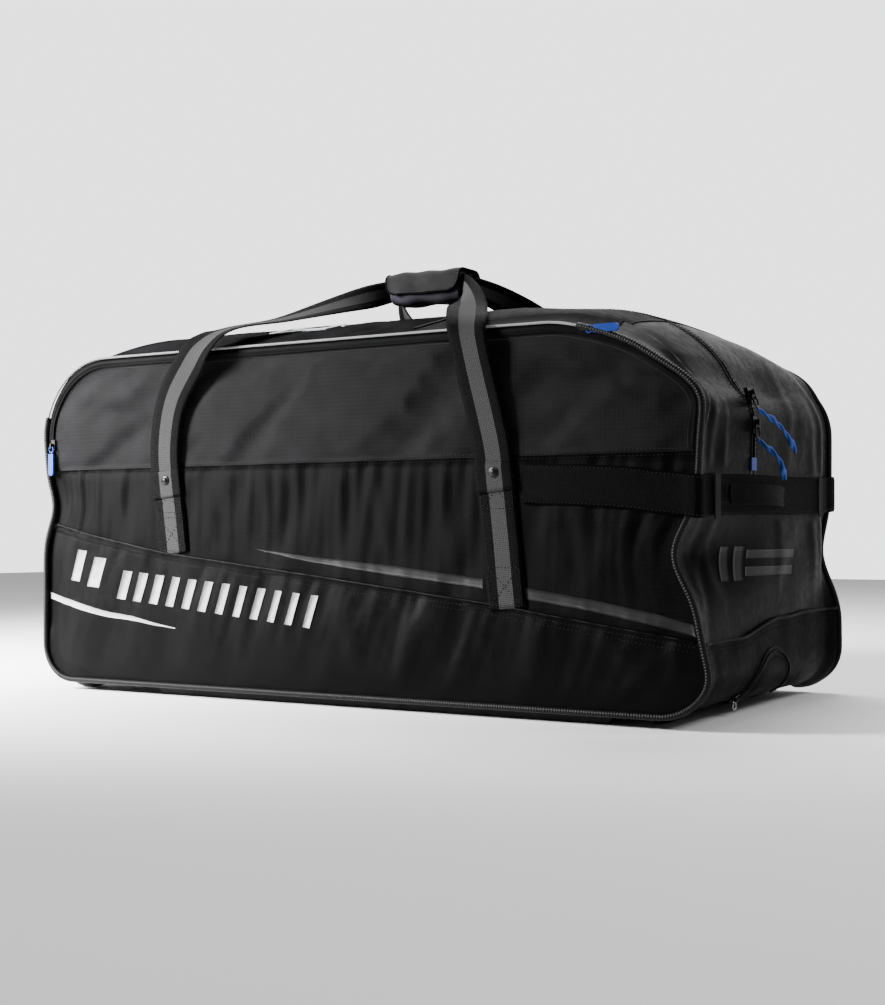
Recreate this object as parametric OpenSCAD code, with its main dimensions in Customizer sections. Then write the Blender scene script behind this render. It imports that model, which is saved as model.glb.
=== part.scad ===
/* [Body] */
// Length of the front and back panels
panel_l = 976; // [800:4:1100]
// Distance between the outer faces of the front and back panels
body_w = 490; // [420:2:560]
// Height of the seam where the top starts
body_h = 456; // [400:2:500]
// Rise of the domed top above that seam
top_rise = 48; // [20:1:60]
// Height of the fabric bottom above the ground
floor_z = 14; // [10:1:20]
// How far the ends sit inside the panel outline
end_inset = 8; // [4:1:14]
// Corner radius at the top of the panels
r_top = 110; // [80:2:140]
// Corner radius at the bottom of the panels
r_bot = 50; // [30:2:60]
// Thickness of every fabric wall
skin = 3; // [2:0.5:4]
// Clear depth of the front pocket
pocket_depth = 14; // [8:1:30]

/* [Seams] */
// Height of the seam across the middle of the front
mid_seam_z = 304; // [280:2:320]
// Height of the sloping seam at the left edge
slope_left_z = 230; // [200:2:250]
// Height of the sloping seam at the right edge
slope_right_z = 96; // [80:2:120]
// Top of the coated guard around the bottom of each end
guard_z = 110; // [95:1:140]

/* [Main zip] */
// Distance of the main zip in front of the middle
zip_y = -60; // [-90:2:0]
// Width of the slot that the zip fills
zip_slot = 14; // [10:1:20]
// Height where the zip ends on each end panel
zip_low_z = 302; // [290:1:330]

/* [Carry straps] */
// Width of the webbing
strap_w = 50; // [40:1:52]
// Thickness of the webbing
strap_t = 2; // [1.5:0.1:3]
// Middle of the left sewn leg
left_leg_x = -265; // [-300:5:-220]
// Middle of the right sewn leg
right_leg_x = 238; // [200:2:280]
// Height where the sewn legs end and the free strap starts
leg_top_z = 300; // [280:2:310]

/* [Wheels] */
// Diameter of each wheel
wheel_d = 84; // [70:2:90]
// Width of each wheel
wheel_w = 36; // [28:1:40]
// Distance of each wheel from the middle
wheel_y = 200; // [180:2:205]
// Diameter of the axle pins
axle_d = 8; // [6:0.5:10]

/* [Rails] */
// Left end of the skid rails
rail_x0 = -305; // [-340:5:-280]
// Right end of the skid rails
rail_x1 = 385; // [340:5:420]
// Width of each rail
rail_w = 24; // [18:1:30]

/* [Hidden] */
$fn = 48;

half_l = panel_l / 2;
half_w = body_w / 2;
end_x = half_l - end_inset;          // outer face of each end
cap_x = end_x - r_top;               // axis of the rounded top corners
cap_z = body_h - r_top;
low_x = end_x - r_bot;               // axis of the rounded bottom corners
low_z = floor_z + r_bot;
inner_w = half_w - skin;             // the gusset lies between the two panels
flap_x = cap_x - 3;                  // half length of the opening top
tape_t = 1.8;
wheel_r = wheel_d / 2;
wheel_x = -446;
well_r = wheel_r + 4;
well_t = 4;
well_w = wheel_w + 8;
housing_y0 = 158;
housing_x = -402;
housing_z = 110;
flange_r = 62;                       // wheel housing flange on the panel corner
wall_y = -half_w + skin + pocket_depth;
wall_t = 2;
pocket_zip_w = 16;
piping_r = 4;
arch_y = 10;                         // end pocket arch: centre, height and radius
arch_z = -8;
arch_r = 78;
arch_zip_w = 7;
arc_n = 14;

// ---------------------------------------------------------------- functions

function unit(v) = v / norm(v);
function arc_pts(cx, cz, r, a0, a1) =
    [for (i = [0:arc_n]) let (a = a0 + (a1 - a0) * i / arc_n) [cx + r * cos(a), cz + r * sin(a)]];

// A rounded outline in X and Z, set in by d, for a half length hx
function outline_pts(hx, d) = concat(
    arc_pts(hx - r_bot, floor_z + r_bot, r_bot - d, -90, 0),
    arc_pts(hx - r_top, body_h - r_top, r_top - d, 0, 90),
    arc_pts(-hx + r_top, body_h - r_top, r_top - d, 90, 180),
    arc_pts(-hx + r_bot, floor_z + r_bot, r_bot - d, 180, 270));

// Height of the domed top over the width
function dome_z(y) = body_h + top_rise * (1 - pow(y / half_w, 2));

// The dome's rise fades out round the top corners, and is gone below 35 % of the turn
function fade(t) = let (s = max(0, (t - 0.35) / 0.65)) s * s * (3 - 2 * s);
function cap_pt(a, y, off) =
    let (r = r_top - off + top_rise * fade(a / 90) * (1 - pow(y / half_w, 2)))
    [cap_x + r * cos(a), y, cap_z + r * sin(a)];

// Points on a smooth curve through P, n to a span
function catmull(a, b, c, d, t) =
    0.5 * (2 * b + (c - a) * t + (2 * a - 5 * b + 4 * c - d) * t * t
    + (3 * b - a - 3 * c + d) * t * t * t);
function smooth(P, n) = let (m = len(P) - 1) concat(
    [for (i = [0:m - 1], k = [0:n - 1])
        catmull(P[max(i - 1, 0)], P[i], P[i + 1], P[min(i + 2, m)], k / n)],
    [P[m]]);

function tangent(P, i) = unit(P[min(i + 1, len(P) - 1)] - P[max(i - 1, 0)]);
function square_to(v, t) = unit(v - (v * t) * t);

// Rings of a flat strap along P, with the width along A and a width at each point
function strap_rings(P, A, W, t) = [for (i = [0:len(P) - 1])
    let (d = tangent(P, i), a = square_to(A[i], d), n = cross(d, a), w = W[i])
    [P[i] + a * w / 2 + n * t / 2, P[i] - a * w / 2 + n * t / 2,
     P[i] - a * w / 2 - n * t / 2, P[i] + a * w / 2 - n * t / 2]];

// Rings of a round tube along P, with a radius at each point
function tube_rings(P, up, R, sides) = [for (i = [0:len(P) - 1])
    let (d = tangent(P, i), a = square_to(up, d), b = cross(d, a))
    [for (k = [0:sides - 1]) let (q = 360 * k / sides)
        P[i] + R[i] * (a * cos(q) + b * sin(q))]];

// The sloping seam of the front, from the left edge to the right
slope_pts = [[-half_l, slope_left_z], [-270, 190], [0, 160], [right_leg_x, 132],
    [half_l, slope_right_z]];

// ---------------------------------------------------------------- building blocks

// Joins rings of points into a closed solid. Both ends are closed in strips, from one
// half of the ring to the other, so that points in a line along an edge stay joined.
module sweep(rings) {
    n = len(rings);
    m = len(rings[0]);
    last = (n - 1) * m;
    pts = [for (r = rings, p = r) p];
    sides = [for (i = [0:n - 2], j = [0:m - 1])
        let (k = (j + 1) % m, a = i * m + j, b = i * m + k, c = a + m, d = b + m)
        each [[a, b, d], [a, d, c]]];
    ends = [for (j = [0:m / 2 - 2]) let (k = m - 1 - j)
        each [[k, k - 1, j + 1], [k, j + 1, j],
            [last + j, last + j + 1, last + k - 1], [last + j, last + k - 1, last + k]]];
    polyhedron(pts, concat(sides, ends));
}

module strap(P, A, W, t) sweep(strap_rings(P, A, W, t));

// Flat shape in X and Z, with its front face at y and a thickness t behind it
module upright(y, t) translate([0, y + t, 0]) rotate([90, 0, 0]) linear_extrude(t) children();

// Flat shape in X and Z, drawn out between two widths
module along_y(y0, y1) upright(y0, y1 - y0) children();

// Flat shape in Y and Z, drawn out between two lengths
module along_x(x0, x1) translate([x0, 0, 0]) rotate([90, 0, 90])
    linear_extrude(x1 - x0) children();

module outline(hx, d) polygon(outline_pts(hx, d));

module box(x0, x1, y0, y1) translate([x0, y0]) square([x1 - x0, y1 - y0]);

// The loop of fabric that joins the front to the back, seen from the front
module gusset_ring(inset = 0, t = skin) difference() {
    outline(end_x, inset);
    outline(end_x, inset + t);
}

// Everything in the front panel above or below the sloping seam
module above_slope() polygon(concat(slope_pts, [[half_l, 600], [-half_l, 600]]));
module below_slope() polygon(concat(slope_pts, [[half_l, -10], [-half_l, -10]]));

module both_sides() {
    children();
    mirror([0, 1, 0]) children();
}

// Ring of a patch of the rounded top corner, at one angle and between two widths
patch_n = 8;
function patch_ring(y0, y1, a, off, t) = concat(
    [for (j = [0:patch_n]) cap_pt(a, y0 + (y1 - y0) * j / patch_n, off)],
    [for (j = [patch_n:-1:0]) cap_pt(a, y0 + (y1 - y0) * j / patch_n, off + t)]);

// A patch of the rounded top corner, which may run straight down below it by drop
module cap_patch(y0, y1, off, t, drop = 0) {
    foot = drop > 0 ? [[for (p = patch_ring(y0, y1, 0, off, t)) p - [0, 0, drop]]] : [];
    sweep(concat(foot, [for (a = [0:7.5:90]) patch_ring(y0, y1, a, off, t)]));
}

// ---------------------------------------------------------------- bottom

module screw_places() for (x = [-250, -60, 140, 330], s = [-1, 1])
    translate([x, s * (half_w - 16 - rail_w / 2), 0]) children();

module bottom_panel() color("#2f2e31") difference() {
    translate([-low_x, -inner_w, floor_z]) cube([2 * low_x, 2 * inner_w, skin]);
    both_sides() translate([-low_x - 1, housing_y0, 0])
        cube([low_x + 1 + wheel_x + well_r + well_t, 200, 60]);
    screw_places() cylinder(d = 5.2, h = 60, center = true);
}

module base_board() color("#3a3a3c") difference() {
    translate([wheel_x + well_r + well_t, wall_y + wall_t + 0.3, floor_z + skin])
        cube([low_x - wheel_x - well_r - well_t - 4, inner_w - 4 - wall_y - wall_t, 3]);
    screw_places() cylinder(d = 5.2, h = 60, center = true);
}

module rail() difference() {
    upright(-half_w + 16, rail_w)
        polygon([[rail_x0, floor_z], [rail_x0 + 16, 0], [rail_x1 - 16, 0], [rail_x1, floor_z]]);
    screw_places() {
        cylinder(d = 5.2, h = 60, center = true);
        translate([0, 0, -1]) cylinder(d = 10.4, h = 8);
    }
}

module front_rail() color("#1c1c1e") rail();
module back_rail() color("#1c1c1e") mirror([0, 1, 0]) rail();

module rail_screws() color("#8c8f94") screw_places() {
    translate([0, 0, 4]) cylinder(d = 10, h = 3);
    translate([0, 0, 7]) cylinder(d = 5.2, h = floor_z + skin + 3 - 7);
}

// ---------------------------------------------------------------- wheels

module well_shape(grow) {
    translate([wheel_x, wheel_r]) circle(well_r + grow);
    box(-half_l - 30, wheel_x, -5, wheel_r + well_r + grow);
    box(-half_l - 30, wheel_x + well_r + grow, -5, wheel_r);
}

module wheel_housing() difference() {
    union() {
        // walls of the well, cut off flush with the bag
        along_y(-wheel_y - well_w / 2 - well_t, -wheel_y + well_w / 2 + well_t) intersection() {
            outline(end_x, 0);
            well_shape(well_t);
        }
        // skin that the fabric is sewn to
        along_y(-inner_w, -housing_y0) intersection() {
            gusset_ring();
            box(-half_l, housing_x, 0, housing_z);
        }
        // flange on the corner of the front panel
        upright(-half_w, skin) intersection() {
            outline(end_x, 0);
            translate([-half_l, floor_z]) circle(flange_r);
        }
    }
    along_y(-wheel_y - well_w / 2, -wheel_y + well_w / 2) well_shape(0);
    translate([wheel_x, -wheel_y, wheel_r]) rotate([90, 0, 0])
        cylinder(d = axle_d, h = well_w + 8, center = true);
}

module front_wheel_housing() color("#202022") wheel_housing();
module back_wheel_housing() color("#202022") mirror([0, 1, 0]) wheel_housing();

module wheel_axles() color("#9a9da2") both_sides()
    translate([wheel_x, -wheel_y, wheel_r]) rotate([90, 0, 0])
        cylinder(d = axle_d, h = well_w + 8, center = true);

module tyre() translate([wheel_x, -wheel_y, wheel_r]) rotate([90, 0, 0]) rotate_extrude()
    polygon([[27, -wheel_w / 2], [wheel_r - 5, -wheel_w / 2], [wheel_r - 1.5, -wheel_w / 2 + 3],
        [wheel_r, -wheel_w / 2 + 8], [wheel_r, wheel_w / 2 - 8], [wheel_r - 1.5, wheel_w / 2 - 3],
        [wheel_r - 5, wheel_w / 2], [27, wheel_w / 2]]);

module hub() translate([wheel_x, -wheel_y, wheel_r]) rotate([90, 0, 0]) rotate_extrude()
    polygon([[axle_d / 2 + 0.06, -wheel_w / 2 - 2], [9, -wheel_w / 2 - 2], [10, -wheel_w / 2 + 3],
        [22, -wheel_w / 2 + 3], [23, -wheel_w / 2], [27, -wheel_w / 2], [27, wheel_w / 2],
        [23, wheel_w / 2], [22, wheel_w / 2 - 3], [10, wheel_w / 2 - 3],
        [9, wheel_w / 2 + 2], [axle_d / 2 + 0.06, wheel_w / 2 + 2]]);

module front_tyre() color("#161617") tyre();
module back_tyre() color("#161617") mirror([0, 1, 0]) tyre();
module front_hub() color("#3c3d40") hub();
module back_hub() color("#3c3d40") mirror([0, 1, 0]) hub();

// ---------------------------------------------------------------- front and back

module front_panel_upper() color("#232326") upright(-half_w, skin) intersection() {
    outline(half_l, piping_r + pocket_zip_w);
    box(-half_l, half_l, mid_seam_z, 600);
}

module front_zip_tape() color("#111112") upright(-half_w, tape_t) intersection() {
    difference() {
        outline(half_l, 0);
        outline(half_l, piping_r + pocket_zip_w);
    }
    box(-half_l, half_l, mid_seam_z, 600);
}

module front_panel_middle() color("#1f1f22") upright(-half_w, skin) intersection() {
    outline(half_l, 0);
    above_slope();
    box(-half_l, half_l, 0, mid_seam_z);
}

module front_panel_lower() color("#2b2a2d") upright(-half_w, skin) difference() {
    intersection() {
        outline(half_l, 0);
        below_slope();
    }
    translate([-half_l, floor_z]) circle(flange_r);
}

module front_pocket_wall() color("#26262a")
    upright(wall_y, wall_t) difference() {
        outline(end_x, skin + 0.5);
        well_shape(6);
    }

module back_panel() color("#232326") upright(half_w - skin, skin) difference() {
    outline(half_l, 0);
    translate([-half_l, floor_z]) circle(flange_r);
}

// Piping round a panel, on the outside of its edge
module piping() {
    P = [for (p = outline_pts(half_l, 0)) [p[0], -half_w - piping_r - 0.2, p[1]]];
    Q = concat(P, [P[0]]);
    sweep(tube_rings(Q, [0, 1, 0], [for (p = Q) piping_r], 8));
}

module front_piping() color("#b9bbc0") piping();
module back_piping() color("#b9bbc0") mirror([0, 1, 0]) piping();

// ---------------------------------------------------------------- ends

module arch_shape(grow) translate([arch_y, arch_z]) circle(arch_r + grow);

// The gusset of one end, between two heights
module end_sheet(z0, z1, t = skin) along_y(-inner_w, inner_w) intersection() {
    gusset_ring(0, t);
    box(low_x, half_l, z0, z1);
}

module zip_slit() translate([low_x, zip_y - zip_slot / 2, zip_low_z]) cube([80, zip_slot, 90]);

module right_end_panel() color("#34343a") difference() {
    end_sheet(guard_z, cap_z);
    zip_slit();
}

module left_end_panel() color("#34343a") mirror([1, 0, 0]) difference() {
    end_sheet(guard_z, cap_z);
    zip_slit();
}

module right_end_guard() color("#2a2a2e") difference() {
    end_sheet(floor_z, guard_z);
    along_x(low_x - 1, half_l) arch_shape(arch_zip_w);
}

module left_end_guard() color("#2a2a2e") difference() {
    mirror([1, 0, 0]) end_sheet(floor_z, guard_z);
    both_sides() translate([-half_l - 1, housing_y0, 0])
        cube([half_l + housing_x + 1, 200, housing_z + 1]);
}

module end_pocket_panel() color("#3d3d42") intersection() {
    end_sheet(floor_z, guard_z);
    along_x(low_x - 1, half_l) arch_shape(0);
}

module end_pocket_zip() color("#0f0f10") intersection() {
    end_sheet(floor_z, guard_z);
    along_x(low_x - 1, half_l) difference() {
        arch_shape(arch_zip_w);
        arch_shape(0);
    }
}

// Slider and pull of the end pocket, in its own upright frame at the surface
slider_y = -77;
slider_z = 24;
slider_x = low_x + 30;

module end_pocket_slider() color("#17171a") translate([slider_x + 1.2, slider_y, slider_z])
    rotate([0, 52, 0]) {
        translate([0.6, -4, -7]) cube([3.4, 8, 14]);
        translate([4, -1.2, -5]) difference() {
            cube([4, 2.4, 7]);
            translate([2, 1.2, 2.5]) rotate([90, 0, 0]) cylinder(r = 1.2, h = 6, center = true);
        }
    }

pull_x = slider_x + 1.2 + 6 * cos(52) - 2.5 * sin(52);
pull_z = slider_z - 6 * sin(52) - 2.5 * cos(52);

module end_pocket_pull() color("#9a9da2") translate([pull_x, slider_y, pull_z])
    rotate([0, -90, 0]) translate([-5, 0, 0]) rotate_extrude() translate([5, 0]) circle(0.9);

// Rounded top corner with the zip slot in it
module top_cap() {
    cap_patch(-inner_w, zip_y - zip_slot / 2, 0, skin);
    cap_patch(zip_y + zip_slot / 2, inner_w, 0, skin);
}

module right_top_cap() color("#3a3a40") top_cap();
module left_top_cap() color("#232326") mirror([1, 0, 0]) top_cap();

module end_zip() cap_patch(zip_y - zip_slot / 2 - 6, zip_y + zip_slot / 2 + 6, skin + 0.1,
    tape_t, cap_z - zip_low_z + 8);

module right_zip_tape() color("#111112") end_zip();
module left_zip_tape() color("#111112") mirror([1, 0, 0]) end_zip();

module zip_end_tabs() color("#1f66b8") for (s = [0, 1]) mirror([s, 0, 0])
    translate([end_x + 0.1, zip_y - 8, s ? left_band_z + band_w + 0.5 : zip_low_z - 12])
        cube([1.4, 16, 15]);

// ---------------------------------------------------------------- webbing

module leg(x, low) translate([x - strap_w / 2, -half_w - 0.2 - strap_t, low])
    cube([strap_w, strap_t, leg_top_z - low]);

module strap_legs() {
    leg(left_leg_x, 190);
    leg(right_leg_x, 132);
}

module front_strap_legs() color("#19191b") strap_legs();
module back_strap_legs() color("#19191b") mirror([0, 1, 0]) strap_legs();

module strap_rivets() color("#55575c") both_sides() for (x = [left_leg_x, right_leg_x])
    translate([x, -half_w - 0.2 - strap_t, leg_top_z - 14]) rotate([90, 0, 0]) {
        cylinder(r = 6, h = 1.2);
        cylinder(r = 4, h = 2.4);
    }

// Band from the right legs round the right end, lower towards the front corner
band_w = 47;
band_t = 2;
left_band_z = 264;
band_half = [[right_leg_x + 26, -half_w - 1.4, 273], [380, -half_w - 1.6, 268],
    [462, -half_w - 2.5, 259], [480, -half_w - 9, 256], [491, -half_w - 10.6, 255],
    [495, -half_w - 4, 255], [493, -half_w + 8, 255], [486, -half_w + 22, 256],
    [end_x + 1.3, -half_w + 50, 258], [end_x + 1.3, 0, 262]];
band_route = concat(band_half, [for (i = [len(band_half) - 2:-1:0])
    [band_half[i][0], -band_half[i][1], 524 - band_half[i][2]]]);

module right_band() color("#202022")
    strap(band_route, [for (p = band_route) [0, 0, 1]], [for (p = band_route) band_w], band_t);

module left_band() color("#202022")
    translate([-end_x - 0.3 - band_t, -half_w + 4, left_band_z]) cube([band_t, body_w - 8, band_w]);

keeper_y = 182;
module band_keepers() color("#2a2a2c") for (s = [-1, 1])
    translate([end_x + 2.6, s * keeper_y - 8, s < 0 ? 231 : 238]) cube([1.6, 16, band_w + 4]);

// Carry strap from the top of one leg to the other, through the wrap
carry_route = [[left_leg_x, -252.5, 301.5], [-262, -256, 340], [-250, -258, 390],
    [-222, -260, 430], [-193, -262, 460], [-166, -240, 482], [-130, -170, 500],
    [-95, -80, 530], [-62, -15, 552], [-30, -13, 552], [30, -13, 552], [54, -15, 552],
    [92, -70, 529], [130, -130, 505], [170, -200, 486], [198, -248, 468],
    [207, -262, 445], [216, -259, 400], [228, -256, 350], [right_leg_x, -252.5, 301.5]];
carry_across = [[1, 0, 0], [1, 0, 0], [1, 0, 0.2], [0.95, 0, -0.2], [0.9, -0.2, -0.2],
    [0.9, -0.4, -0.1], [0.9, -0.4, -0.2], [0.6, -0.3, -0.6], [0, 0, -1], [0, 0, -1],
    [0, 0, -1], [0, 0, -1], [-0.6, -0.3, -0.6], [-0.9, -0.4, 0], [-0.9, -0.4, 0.1],
    [-1, -0.2, 0], [-1, 0, 0], [-1, 0, 0], [-1, 0, 0], [-1, 0, 0]];
carry_width = [50, 50, 50, 50, 50, 50, 48, 40, 30, 30, 30, 30, 40, 48, 50, 50, 50, 50, 50, 50];

module carry_strap() {
    n = 3;
    W = smooth([for (w = carry_width) [w * strap_w / 50]], n);
    strap(smooth(carry_route, n), smooth(carry_across, n), [for (w = W) w[0]], strap_t);
}

module front_strap() color("#19191b") carry_strap();
module back_strap() color("#19191b") mirror([0, 1, 0]) carry_strap();

// One half of the padded wrap that closes round both straps
module half_wrap() along_x(-64, 56) difference() {
    hull() for (y = [-18, 18], z = [539, 565]) translate([y, z]) circle(9, $fn = 24);
    translate([-24, 533]) square([48, 37]);
    translate([-0.4, 500]) square([60, 100]);
}

module front_wrap() color("#3b3a3e") half_wrap();
module back_wrap() color("#3b3a3e") mirror([0, 1, 0]) half_wrap();

// Folded hand grip, standing off its end
module grip(z) {
    y = [-150, -138, -118, -80, -40, -2, 18, 30];
    x = [3.6, 7, 15, 22, 22, 15, 7, 3.6];
    w = [8, 12, 22, 24, 24, 22, 12, 8];
    P = smooth([for (i = [0:7]) [end_x + x[i] + 2, y[i], z]], 3);
    W = smooth([for (v = w) [v]], 3);
    strap(P, [for (p = P) [0, 0, 1]], [for (v = W) v[0]], 3);
}

grip_right_z = 260;
grip_left_z = 287;
module right_grip() color("#202022") grip(grip_right_z);
module left_grip() color("#202022") mirror([1, 0, 0]) grip(grip_left_z);

// ---------------------------------------------------------------- opening top

// Strip of the domed top between two widths
module dome_strip(y0, y1, off, t) along_x(-flap_x, flap_x) polygon(concat(
    [for (i = [0:10]) let (y = y0 + (y1 - y0) * i / 10) [y, dome_z(y) - off]],
    [for (i = [10:-1:0]) let (y = y0 + (y1 - y0) * i / 10) [y, dome_z(y) - off - t]]));

module front_top_panel() color("#2b2b2f") dome_strip(-inner_w + 1, zip_y - zip_slot / 2, 0, skin);
module back_top_panel() color("#2b2b2f") dome_strip(zip_y + zip_slot / 2, inner_w - 1, 0, skin);
module front_top_zip() color("#111112")
    dome_strip(zip_y - zip_slot / 2 - 6, zip_y - 0.5, skin + 0.1, tape_t);
module back_top_zip() color("#111112")
    dome_strip(zip_y + 0.5, zip_y + zip_slot / 2 + 6, skin + 0.1, tape_t);

// Window for a name card, on the slope of the top
module id_window() color("#c9cdd2") translate([-105, -150, dome_z(-150) + 0.2])
    rotate([atan(2 * top_rise * 150 / pow(half_w, 2)), 0, 0]) {
        difference() {
            translate([-46, -25, 0.4]) cube([92, 50, 2]);
            translate([-39, -18, 1.4]) cube([78, 36, 5]);
        }
        translate([60, 0, 0.4]) cylinder(r = 5, h = 2.4);
    }

// ---------------------------------------------------------------- main zip sliders

// A slider in its own frame: X out of the bag, Z along the zip
module slider() {
    hull() {
        translate([0.3, -6, -3]) cube([5, 12, 13]);
        translate([0.3, -3.5, -10]) cube([5, 7, 5]);
    }
    translate([5.3, -1.5, -6]) difference() {
        cube([6.2, 3, 12]);
        translate([3.4, 1.5, 4]) rotate([90, 0, 0]) cylinder(r = 2, h = 10, center = true);
    }
}

ring_r = 7;
ring_x = 8.7;                        // ring axis in the slider's frame
ring_z = -2;

module pull_ring() translate([ring_x, 0, ring_z - ring_r]) rotate([0, 90, 0])
    rotate_extrude() translate([ring_r, 0]) circle(1.1, $fn = 24);

// The upper slider sits on the rounded corner, turned by this angle
upper_turn = 17;
tape_x = end_x - skin - 0.1;
lower_slider_z = cap_z - 2;

module at_upper() translate([cap_x, zip_y, cap_z]) rotate([0, -upper_turn, 0])
    translate([r_top - skin - 0.1, 0, 0]) children();
module at_lower() translate([tape_x, zip_y, lower_slider_z]) children();

module upper_slider() color("#131314") at_upper() slider();
module lower_slider() color("#131314") at_lower() slider();
module upper_ring() color("#2a2a2c") at_upper() pull_ring();
module lower_ring() color("#2a2a2c") at_lower() pull_ring();

// Doubled cord of each pull, from its ring to the tail below the knot
cord_r = 2.6;
upper_route = [[485, -60, 363], [488, -57, 360], [492, -52, 356], [496, -45, 352],
    [500, -37, 347], [504, -29, 341], [507, -21, 334], [509, -14, 327], [511, -8, 320],
    [512, -3, 313]];
lower_route = [[486, -60, 327], [490, -60, 323], [496, -59, 318], [503, -57, 312],
    [509, -54, 306], [513, -51, 299], [515, -48, 292], [516, -45, 285], [517, -42, 278]];

function knot_r(i, n) = cord_r + 2.2 * exp(-pow((i - n * 0.8) / (n * 0.07), 2));
module pull_cord(route) {
    P = smooth(route, 3);
    n = len(P) - 1;
    sweep(tube_rings(P, [0, 0, 1], [for (i = [0:n]) knot_r(i, n)], 8));
}

module upper_cord() color("#1f66b8") pull_cord(upper_route);
module lower_cord() color("#1f66b8") pull_cord(lower_route);

// ---------------------------------------------------------------- pocket sliders

// A flat slider in its own frame: Y out of the front, Z along the zip
module pocket_slider() {
    translate([-4.5, -4.2, -7]) cube([9, 4, 14]);
    translate([-1.2, -8.2, -5]) difference() {
        cube([2.4, 4.2, 7]);
        translate([1.2, 2, 2.5]) rotate([0, 90, 0]) cylinder(r = 1.2, h = 8, center = true);
    }
}

// Moulded pull: a wire eye and a flat tab below it
pull_y = -6.2;
pull_drop = -2.5;
module pocket_pull() translate([0, pull_y, pull_drop]) {
    translate([0, 0, -4]) rotate([90, 0, 0]) rotate_extrude() translate([4, 0]) circle(0.8);
    difference() {
        hull() {
            translate([-4.5, -1.3, -14]) cube([9, 2.6, 4]);
            translate([0, 0, -36]) rotate([90, 0, 0]) cylinder(r = 4.5, h = 2.6, center = true);
        }
        translate([0, 0, -4]) rotate([90, 0, 0]) cylinder(r = 4, h = 10, center = true);
    }
}

pocket_zip_x = half_l - piping_r - pocket_zip_w / 2;
pocket_zip_z = body_h - piping_r - pocket_zip_w / 2;
left_slider_z = 340;
top_slider_x = 352;

module at_left_pocket() translate([-pocket_zip_x, -half_w, left_slider_z]) children();
module at_top_pocket() translate([top_slider_x, -half_w, pocket_zip_z])
    rotate([0, -90, 0]) children();

module left_pocket_slider() color("#17171a") at_left_pocket() pocket_slider();
module left_pocket_pull() color("#2a74d0") at_left_pocket() pocket_pull();
module top_pocket_slider() color("#17171a") at_top_pocket() pocket_slider();
module top_pocket_pull() color("#2a74d0") at_top_pocket() pocket_pull();

// ---------------------------------------------------------------- nodes

bottom_panel();
base_board();
front_panel_upper();
front_panel_middle();
front_panel_lower();
front_pocket_wall();
front_zip_tape();
back_panel();
right_end_panel();
right_end_guard();
left_end_panel();
left_end_guard();
right_top_cap();
left_top_cap();
front_piping();
back_piping();
right_band();
left_band();
band_keepers();
front_strap_legs();
back_strap_legs();
strap_rivets();
front_rail();
back_rail();
rail_screws();
front_wheel_housing();
back_wheel_housing();
wheel_axles();
right_zip_tape();
left_zip_tape();
end_pocket_panel();
end_pocket_zip();
end_pocket_slider();
zip_end_tabs();
front_strap();
front_wrap();
back_strap();
back_wrap();
front_top_panel();
back_top_panel();
front_top_zip();
back_top_zip();
id_window();
front_tyre();
front_hub();
back_tyre();
back_hub();
upper_slider();
lower_slider();
upper_ring();
lower_ring();
upper_cord();
lower_cord();
left_pocket_slider();
left_pocket_pull();
top_pocket_slider();
top_pocket_pull();
end_pocket_pull();
right_grip();
left_grip();
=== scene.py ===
import math

import bpy
import numpy as np
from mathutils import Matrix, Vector, noise


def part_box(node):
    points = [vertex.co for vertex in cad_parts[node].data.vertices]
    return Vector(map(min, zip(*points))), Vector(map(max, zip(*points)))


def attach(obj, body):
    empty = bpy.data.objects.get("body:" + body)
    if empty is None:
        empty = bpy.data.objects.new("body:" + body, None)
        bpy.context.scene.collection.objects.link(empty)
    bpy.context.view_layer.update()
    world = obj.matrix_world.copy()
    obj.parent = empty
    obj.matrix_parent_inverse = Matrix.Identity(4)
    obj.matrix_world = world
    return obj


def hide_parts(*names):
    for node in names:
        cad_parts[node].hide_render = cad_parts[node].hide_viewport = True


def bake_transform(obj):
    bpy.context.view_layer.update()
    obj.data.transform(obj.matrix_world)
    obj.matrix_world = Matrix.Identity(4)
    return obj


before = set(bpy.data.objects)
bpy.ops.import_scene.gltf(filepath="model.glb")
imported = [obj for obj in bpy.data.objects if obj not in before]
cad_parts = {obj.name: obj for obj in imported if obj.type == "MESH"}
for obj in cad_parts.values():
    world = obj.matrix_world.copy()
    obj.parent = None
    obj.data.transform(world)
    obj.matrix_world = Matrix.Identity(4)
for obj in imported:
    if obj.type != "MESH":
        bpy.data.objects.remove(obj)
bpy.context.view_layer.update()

# ------------------------------------------------------------------ sizes, in metres
panel_low, panel_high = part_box("back_panel")
HALF_L, HALF_W = panel_high.x, panel_high.y
LOW_Z, TOP_Z = panel_low.z, panel_high.z
END_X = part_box("right_end_panel")[1].x
GUARD_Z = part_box("right_end_panel")[0].z
MID_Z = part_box("front_panel_upper")[0].z
ZIP_Y = (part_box("right_zip_tape")[0].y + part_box("right_zip_tape")[1].y) / 2
FLAP_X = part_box("front_top_panel")[1].x
R_TOP, R_LOW = 0.110, 0.050          # corner radii of the panels
TOP_RISE = 0.048                     # rise of the domed top
CLOTH = 0.0022                       # thickness of the fabrics
GRID = 0.0045                        # spacing of the fabric meshes
PIPING = 0.0038                      # radius of the piping
STRAP_W, STRAP_T = 0.050, 0.002
SEW = 0.003                          # spacing of the points along a row of stitches
SEAM_SLOPE = [(-HALF_L, 0.230), (-0.270, 0.190), (0, 0.160), (0.238, 0.132), (HALF_L, 0.096)]

# ------------------------------------------------------------------ camera
camera = bpy.data.objects.new("camera", bpy.data.cameras.new("camera"))
bpy.context.scene.collection.objects.link(camera)
camera.location = (1.124, -1.814, 0.210)
camera.rotation_euler = (math.radians(90), 0, math.radians(31.5))
camera.data.lens = 55.5
camera.data.shift_y = 0.0353
bpy.context.scene.camera = camera


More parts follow.
